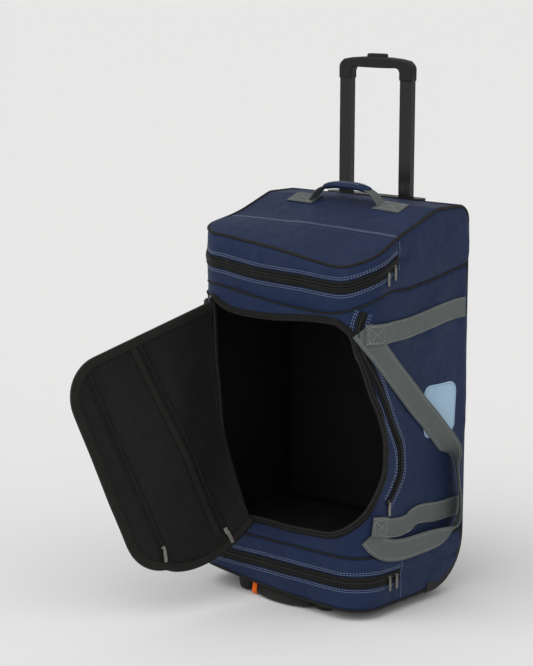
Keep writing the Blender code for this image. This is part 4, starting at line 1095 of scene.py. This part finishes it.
FLAP_TILT = math.radians(13.4)
FLAP_OPEN = math.radians(104.0)
FLAP_TOP = Vector((-0.165, -0.157, 0.585))
FLAP_LOW_Z, FLAP_EDGE_X, FLAP_RADIUS = 0.15, 0.208, 0.08
FLAP_AXIS = Vector((math.sin(FLAP_TILT), 0, -math.cos(FLAP_TILT)))
FLAP_TURN = Matrix.Rotation(FLAP_OPEN, 3, FLAP_AXIS)
FLAP_AWAY = FLAP_TURN @ Vector((math.cos(FLAP_TILT), 0, math.sin(FLAP_TILT)))
FLAP_FOLD = (FLAP_TOP, FLAP_TOP + FLAP_AWAY * 0.11)


def hinge_x(z):
    return FLAP_TOP.x + (FLAP_TOP.z - z) * math.tan(FLAP_TILT)


def flap_point(x, z, depth):
    """A point of the closed flap, moved to where the open flap holds it; its root bows outwards."""
    away = x - hinge_x(z)
    share = (FLAP_TOP.z - z) / (FLAP_TOP.z - FLAP_LOW_Z)
    rigid = FLAP_TOP + FLAP_TURN @ Vector((x - FLAP_TOP.x, depth, z - FLAP_TOP.z))
    bow = 0.034 * math.sin(math.pi * min(max(share, 0.0), 1.0)) ** 0.9
    hold = 1 - smoothstep(away / 0.13)
    droop = 0.03 * hump(min(max(away / 0.21, 0.0), 1.0), 1.0) * (1 - smoothstep((z - FLAP_LOW_Z) / 0.2))
    return rigid + Vector((-bow, 0.004, 0.0)) * hold - Vector((0, 0, droop))


def flap_place(x, z, depth):
    """A point of the flap at a depth from its folded middle surface."""
    folds = noise.noise(Vector((x * 10, z * 8, 9.2))) * 0.0035
    folds += noise.noise(Vector((x * 34, z * 30, 2.2))) * 0.0007
    return flap_point(x, z, depth + folds)


def flap_outline(inset):
    """The closed flap seen from the front, from its top left round to its bottom left."""
    top, low, edge = FLAP_TOP.z - inset, FLAP_LOW_Z + inset, FLAP_EDGE_X - inset
    radius = FLAP_RADIUS - inset
    points = [(x, top) for x in spread(hinge_x(top) + 0.002, edge - radius, 0.012)]
    points += arc((edge - radius, top - radius), radius, 90, 0, 12)[1:]
    points += [(edge, z) for z in spread(top - radius, low + radius, 0.012)[1:]]
    points += arc((edge - radius, low + radius), radius, 0, -90, 12)[1:]
    points += [(x, low) for x in spread(edge - radius, hinge_x(low) + 0.002, 0.012)[1:]]
    return resample([Vector(p).to_3d() for p in points], SEAM_STEP)


def flap_rows(inset, depth, columns=30):
    """Grid over the flap: each row runs from the hinge to the free edge."""
    rows = []
    low, top = FLAP_LOW_Z + inset, FLAP_TOP.z - inset
    radius = FLAP_RADIUS - inset
    for z in spread(low, top, 0.0075):
        near = min(z - low, top - z)
        edge = FLAP_EDGE_X - inset
        if near < radius:
            edge -= radius - math.sqrt(max(radius**2 - (radius - near) ** 2, 0.0))
        row = []
        for i, x in enumerate(parts(hinge_x(z) + 0.001, edge, columns)):
            fade = smoothstep(min(i, columns - i) / 3.0) * smoothstep(near / 0.02)
            row.append((flap_place(x, z, depth * (0.4 + 0.6 * fade)), (x, z)))
        rows.append(row)
    return rows


def flap():
    """Front flap: navy outside, black pocketed lining inside, bound edge and two pocket zips."""
    cloth, rim = new_builder(), new_builder()
    add_cloth(cloth, flap_rows(0.004, 0.0028))
    add_cloth(cloth, [row[::-1] for row in flap_rows(0.004, -0.0028)], slot=1)
    weld(cloth, 0.0003)
    bmesh.ops.bridge_loops(cloth, edges=[e for e in cloth.edges if e.is_boundary])
    bmesh.ops.recalc_face_normals(cloth, faces=cloth.faces)
    area = (FLAP_EDGE_X - (FLAP_TOP.x + hinge_x(FLAP_LOW_Z)) / 2) * (FLAP_TOP.z - FLAP_LOW_Z)
    sheet = {"flat": (0.37, 0.435), "area": area - 0.43 * FLAP_RADIUS**2}
    put(cloth, "flap_cloth", "flap", "flap_inner", "navy", node="flap_panel", sheet=sheet, fold=FLAP_FOLD)
    add_tube(rim, [flap_place(p.x, p.y, 0.0) for p in flap_outline(0.002)], 0.0042, 10)
    band, inward = flap_outline(0.009), flap_outline(0.014)
    ratio = (len(inward) - 1) / (len(band) - 1)
    inner_at = [inward[round(i * ratio)] for i in range(len(band))]
    for depth in (0.0046, -0.0046):
        middle = [flap_place(p.x, p.y, depth) for p in band]
        wide = [flap_place(p.x, p.y, depth) - m for p, m in zip(inner_at, middle)]
        add_ribbon(rim, middle, wide, 0.013, 0.0022)
    put(rim, "flap_edge_binding", "flap", "binding", node="flap_binding", fold=FLAP_FOLD)
    path = [flap_place(p.x, p.y, 0.003) for p in flap_outline(0.017)]
    cord(path, "flap_inner_cord", 0.0016, "flap", "binding", fold=FLAP_FOLD)
    low_end = (-0.012, 0.18)
    pocket_zip("flap_zip_outer", (0.152, 0.566), (0.14, 0.17), "flap_zip")
    pocket_zip("flap_zip_inner", (0.026, 0.57), low_end, None, 0.014)
    inner_slider(*low_end)
    flap_gusset()


def flap_gusset():
    """Soft strip of cloth between the bag's edge and the flap's root."""
    builder = new_builder()
    rows = []
    for p in resample(opening_outline()[3], 0.012):
        shell = skin(p.x - 0.01, p.y, 0.003)
        root = flap_point(hinge_x(p.y) + 0.006, p.y, 0.003)
        row = [shell, *[shell.lerp(root, t) + Vector((0, -0.002, 0)) for t in (0.33, 0.67)], root]
        rows.append([(point, (i * 0.006, p.y)) for i, point in enumerate(row)])
    add_cloth(builder, rows)
    put(builder, "flap_gusset", "root", "flap_inner", depth=0.0016)


def inner_slider(x, z):
    """Slider and pull of the flap's second pocket zip."""
    builder = new_builder()
    centre, flat = flap_point(x, z, 0.0075), flap_point(x, z, 0.0)
    normal = (flap_point(x, z, 0.01) - flat).normalized()
    along = (flap_point(x, z - 0.01, 0.0) - flat).normalized()
    sideways = along.cross(normal)
    body = [centre + along * t for t in (-0.007, -0.005, 0.004, 0.006)]
    for i, wide in enumerate((0.0095, 0.0095, 0.0085)):
        add_ribbon(builder, body[i : i + 2], [sideways] * 2, wide, 0.004)
    pull = [centre + normal * 0.003 + along * t for t in (0.002, 0.004, 0.024, 0.026)]
    add_ribbon(builder, pull, [sideways] * 4, 0.008, 0.0016)
    put(builder, "flap_inner_slider", "flap", "metal", fold=FLAP_FOLD)


def pocket_zip(name, top, low, node, fold_width=0.0):
    """A zip on the flap's inner face; a fold of cloth may lie along it."""
    line = list(zip(parts(top[0], low[0], 40), parts(top[1], low[1], 40)))

    def lay(offset, lift):
        return [flap_place(x + offset, z, 0.0028 + lift) for x, z in line]

    def sideways(offset, half):
        return [b - a for a, b in zip(lay(offset - half, 0.0), lay(offset + half, 0.0))]

    path, size = lay(0.0, 0.0012), (0.016, 0.0018)
    strap(path, sideways(0.0, 0.008), size, f"{name}_tape", "flap", "tape", node=node, fold=FLAP_FOLD)
    cord(lay(0.0, 0.0028), f"{name}_coil", 0.0016, "flap", "coil", fold=FLAP_FOLD)
    edge = new_builder()
    add_tube(edge, lay(0.0095, 0.0008), 0.0012, 6)
    if fold_width:
        middle = 0.0105 + fold_width / 2
        add_ribbon(edge, lay(middle, 0.002), sideways(middle, 0.006), fold_width, 0.003)
    put(edge, f"{name}_edge", "flap", "binding", fold=FLAP_FOLD)


# ---- hard parts


def dress_hard_parts():
    """Procedural finishes for the frame's own solids that stay visible."""
    looks = {
        "plastic": ["back_board", "trolley_bezel", "release_button", "push_yoke"],
        "metal": [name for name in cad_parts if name.startswith(("slider_", "pull_"))],
    }
    pairs = {"plastic": ("lock_block", "wheel_hub", "wheel_housing"), "rubber": ("tyre",)}
    pairs.update({"tube": ("tube",), "steel": ("sleeve", "axle")})
    for slot, names in pairs.items():
        looks.setdefault(slot, []).extend(f"{name}_{side}" for name in names for _, side in SIDES)
    for slot, names in looks.items():
        for name in names:
            for material_slot in bpy.data.objects[name].material_slots:
                material_slot.material = MATERIALS[slot]


def base_plate_and_feet():
    """Moulded plate under the soft base, with its two front feet."""
    plate = new_builder()
    rows = []
    for y in spread(-0.128, 0.052, 0.012):
        xs = across(-min(half_width(y) - 0.022, 0.175), 24)
        rows.append([(Vector((x, y, 0.02 + base_lift(x, y))), (x, y)) for x in xs])
    add_cloth(plate, rows)
    put(plate, "base_plate", "root", "plastic", node="base_tray", depth=0.0034)
    for _, name in SIDES:
        foot = new_builder()
        x, y = centre_of(f"foot_{name}").xy
        top = 0.0195 + base_lift(x, y)
        rows, uvs = [], []
        for z, scale in ((0.0, 0.6), (0.0015, 0.78), (0.006, 0.92), (top * 0.6, 1.0), (top, 1.12)):
            a, b = 0.0225 * scale, 0.019 * scale
            rows.append([Vector((x + a * math.cos(turn), y + b * math.sin(turn), z)) for turn in ring_of(24)])
            uvs.append([(i * 0.005, z) for i in range(25)])
        add_capped(foot, rows, uvs)
        put(foot, f"foot_moulding_{name}", "root", "rubber", node=f"foot_{name}")


def trolley_grip():
    """Moulded grip, flush with the tubes and slightly arched on top."""
    y, base, tube = centre_of("grip").y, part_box("grip")[0][2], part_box("tube_right")
    outer, inner = tube[1][0] + 0.0014, tube[0][0] - 0.0014
    half = [(outer, base), (outer, 1.041), (outer - 0.0035, 1.0475), (outer - 0.012, 1.0545)]
    half += [(0.06, 1.058), (0.035, 1.06), (0.0, 1.0605)]
    under = [(0.0, 1.0385), (0.035, 1.0388), (inner - 0.01, 1.0395)]
    under += [(inner - 0.003, 1.037), (inner, 1.031), (inner, base)]
    outline = half + [(-x, z) for x, z in reversed(half[:-1])]
    outline += [(-x, z) for x, z in reversed(under[1:])] + under
    builder = new_builder()
    depth, count = 0.0098, len(outline)
    front, back = [[builder.verts.new((x, y + d, z)) for x, z in outline] for d in (-depth, depth)]
    builder.faces.new(front)
    builder.faces.new(back[::-1])
    for i in range(count):
        j = (i + 1) % count
        builder.faces.new((front[j], front[i], back[i], back[j]))
    bmesh.ops.recalc_face_normals(builder, faces=builder.faces)
    piece = put(builder, "grip_moulding", "trolley", "plastic", node="grip", angle=30)
    rounding = piece.modifiers.new("rounded_edges", "BEVEL")
    rounding.width = 0.0032
    rounding.segments = 3
    rounding.angle_limit = math.radians(50)


def corner_guards():
    """Moulded guards round the rear lower corners."""
    path = [(0.054, 0.0165), (0.066, 0.016), *arc((0.07, 0.1195), 0.1035, -84, 0, 10)]
    path += [(0.1735, 0.15), (0.1735, 0.18), (0.173, 0.205)]
    centre = Vector((0, 0.06, 0.135))
    for side, name in SIDES:
        builder = new_builder()
        face, wrap = [Vector((side * x, 0, 0)) for x in (HALF + 0.003, HALF - 0.03)]
        step = Vector((side, 0, 0))
        rows = []
        for (y, z), t in zip(path, parts(0, 1, len(path) - 1)):
            outer = Vector((0, y, z))
            inward = (centre - outer).normalized()
            inner = outer + inward * (0.02 * (1 - t) + 0.004)
            row = [face + inner - step * 0.003, face + inner - inward * 0.0015]
            row += [face + outer + inward * 0.003, face + outer - step * 0.003]
            row += [wrap + outer, wrap + outer + inward * 0.0035]
            rows.append([*row, face + outer - step * 0.004 + inward * 0.004])
        add_capped(builder, rows, [[(0, 0)] * 8] * len(rows))
        bmesh.ops.recalc_face_normals(builder, faces=builder.faces)
        piece = put(builder, f"corner_guard_{name}", "root", "plastic", angle=30)


# ---- studio


def studio():
    """Pale floor that fills the view, an even sky, and soft suns."""
    scene = bpy.context.scene
    scene.view_settings.view_transform = "Standard"
    world = bpy.data.worlds.new("studio")
    scene.world = world
    world.use_nodes = True
    background = world.node_tree.nodes["Background"]
    background.inputs["Color"].default_value = (1.0, 0.995, 0.985, 1.0)
    background.inputs["Strength"].default_value = 0.52
    builder = bmesh.new()
    reach = 120.0
    for x, y in ((-1, -1), (1, -1), (1, 1), (-1, 1)):
        builder.verts.new((x * reach, y * reach, -0.0005))
    builder.faces.new(builder.verts)
    mesh = bpy.data.meshes.new("floor")
    builder.to_mesh(mesh)
    builder.free()
    floor = bpy.data.objects.new("floor", mesh)
    scene.collection.objects.link(floor)
    plain = Nodes("floor_paper", (0.9, 0.9, 0.9), 0.9, gloss=0.1)
    plain.vary_roughness(plain.noise(5.0), 0.85, 0.95)
    mesh.materials.append(plain.material)
    suns = (("key", (-0.35, -1.0, 1.05), 75, 1.25), ("fill", (1.0, -0.25, 0.75), 85, 0.55))
    for name, place, width, power in suns:
        data = bpy.data.lights.new(name, "SUN")
        data.angle = math.radians(width)
        data.energy = power
        lamp = bpy.data.objects.new(name, data)
        lamp.location = place
        lamp.rotation_euler = (-Vector(place)).to_track_quat("-Z", "Y").to_euler()
        scene.collection.objects.link(lamp)


def camera():
    """The picture's view: about 42 degrees round to the right and 10 degrees up."""
    place = Vector((2.52704, -3.01458, 1.24516)) + SHIFT
    target = Vector((-0.0894, -0.0797, 0.5204)) + SHIFT
    forward = (target - place).normalized()
    right = forward.cross(Vector((0, 0, 1))).normalized()
    up = right.cross(forward)
    roll = math.radians(0.212)
    right, up = right * math.cos(roll) + up * math.sin(roll), up * math.cos(roll) - right * math.sin(roll)
    data = bpy.data.cameras.new("view")
    data.lens = 108.78
    data.sensor_width = 36.0
    data.clip_end = 500.0
    view = bpy.data.objects.new("view", data)
    matrix = Matrix((right, up, -forward)).transposed().to_4x4()
    matrix.translation = place
    view.matrix_world = matrix
    bpy.context.scene.collection.objects.link(view)
    bpy.context.scene.camera = view


camera()
studio()
top_pocket()
back_and_base()
bottom_pocket()
main_compartment()
piping()
zips()
side_pocket()
stitch_lines()
webbing()
side_patch()
top_handle()
bottom_handle()
flap()
corner_guards()
base_plate_and_feet()
trolley_grip()
dress_hard_parts()
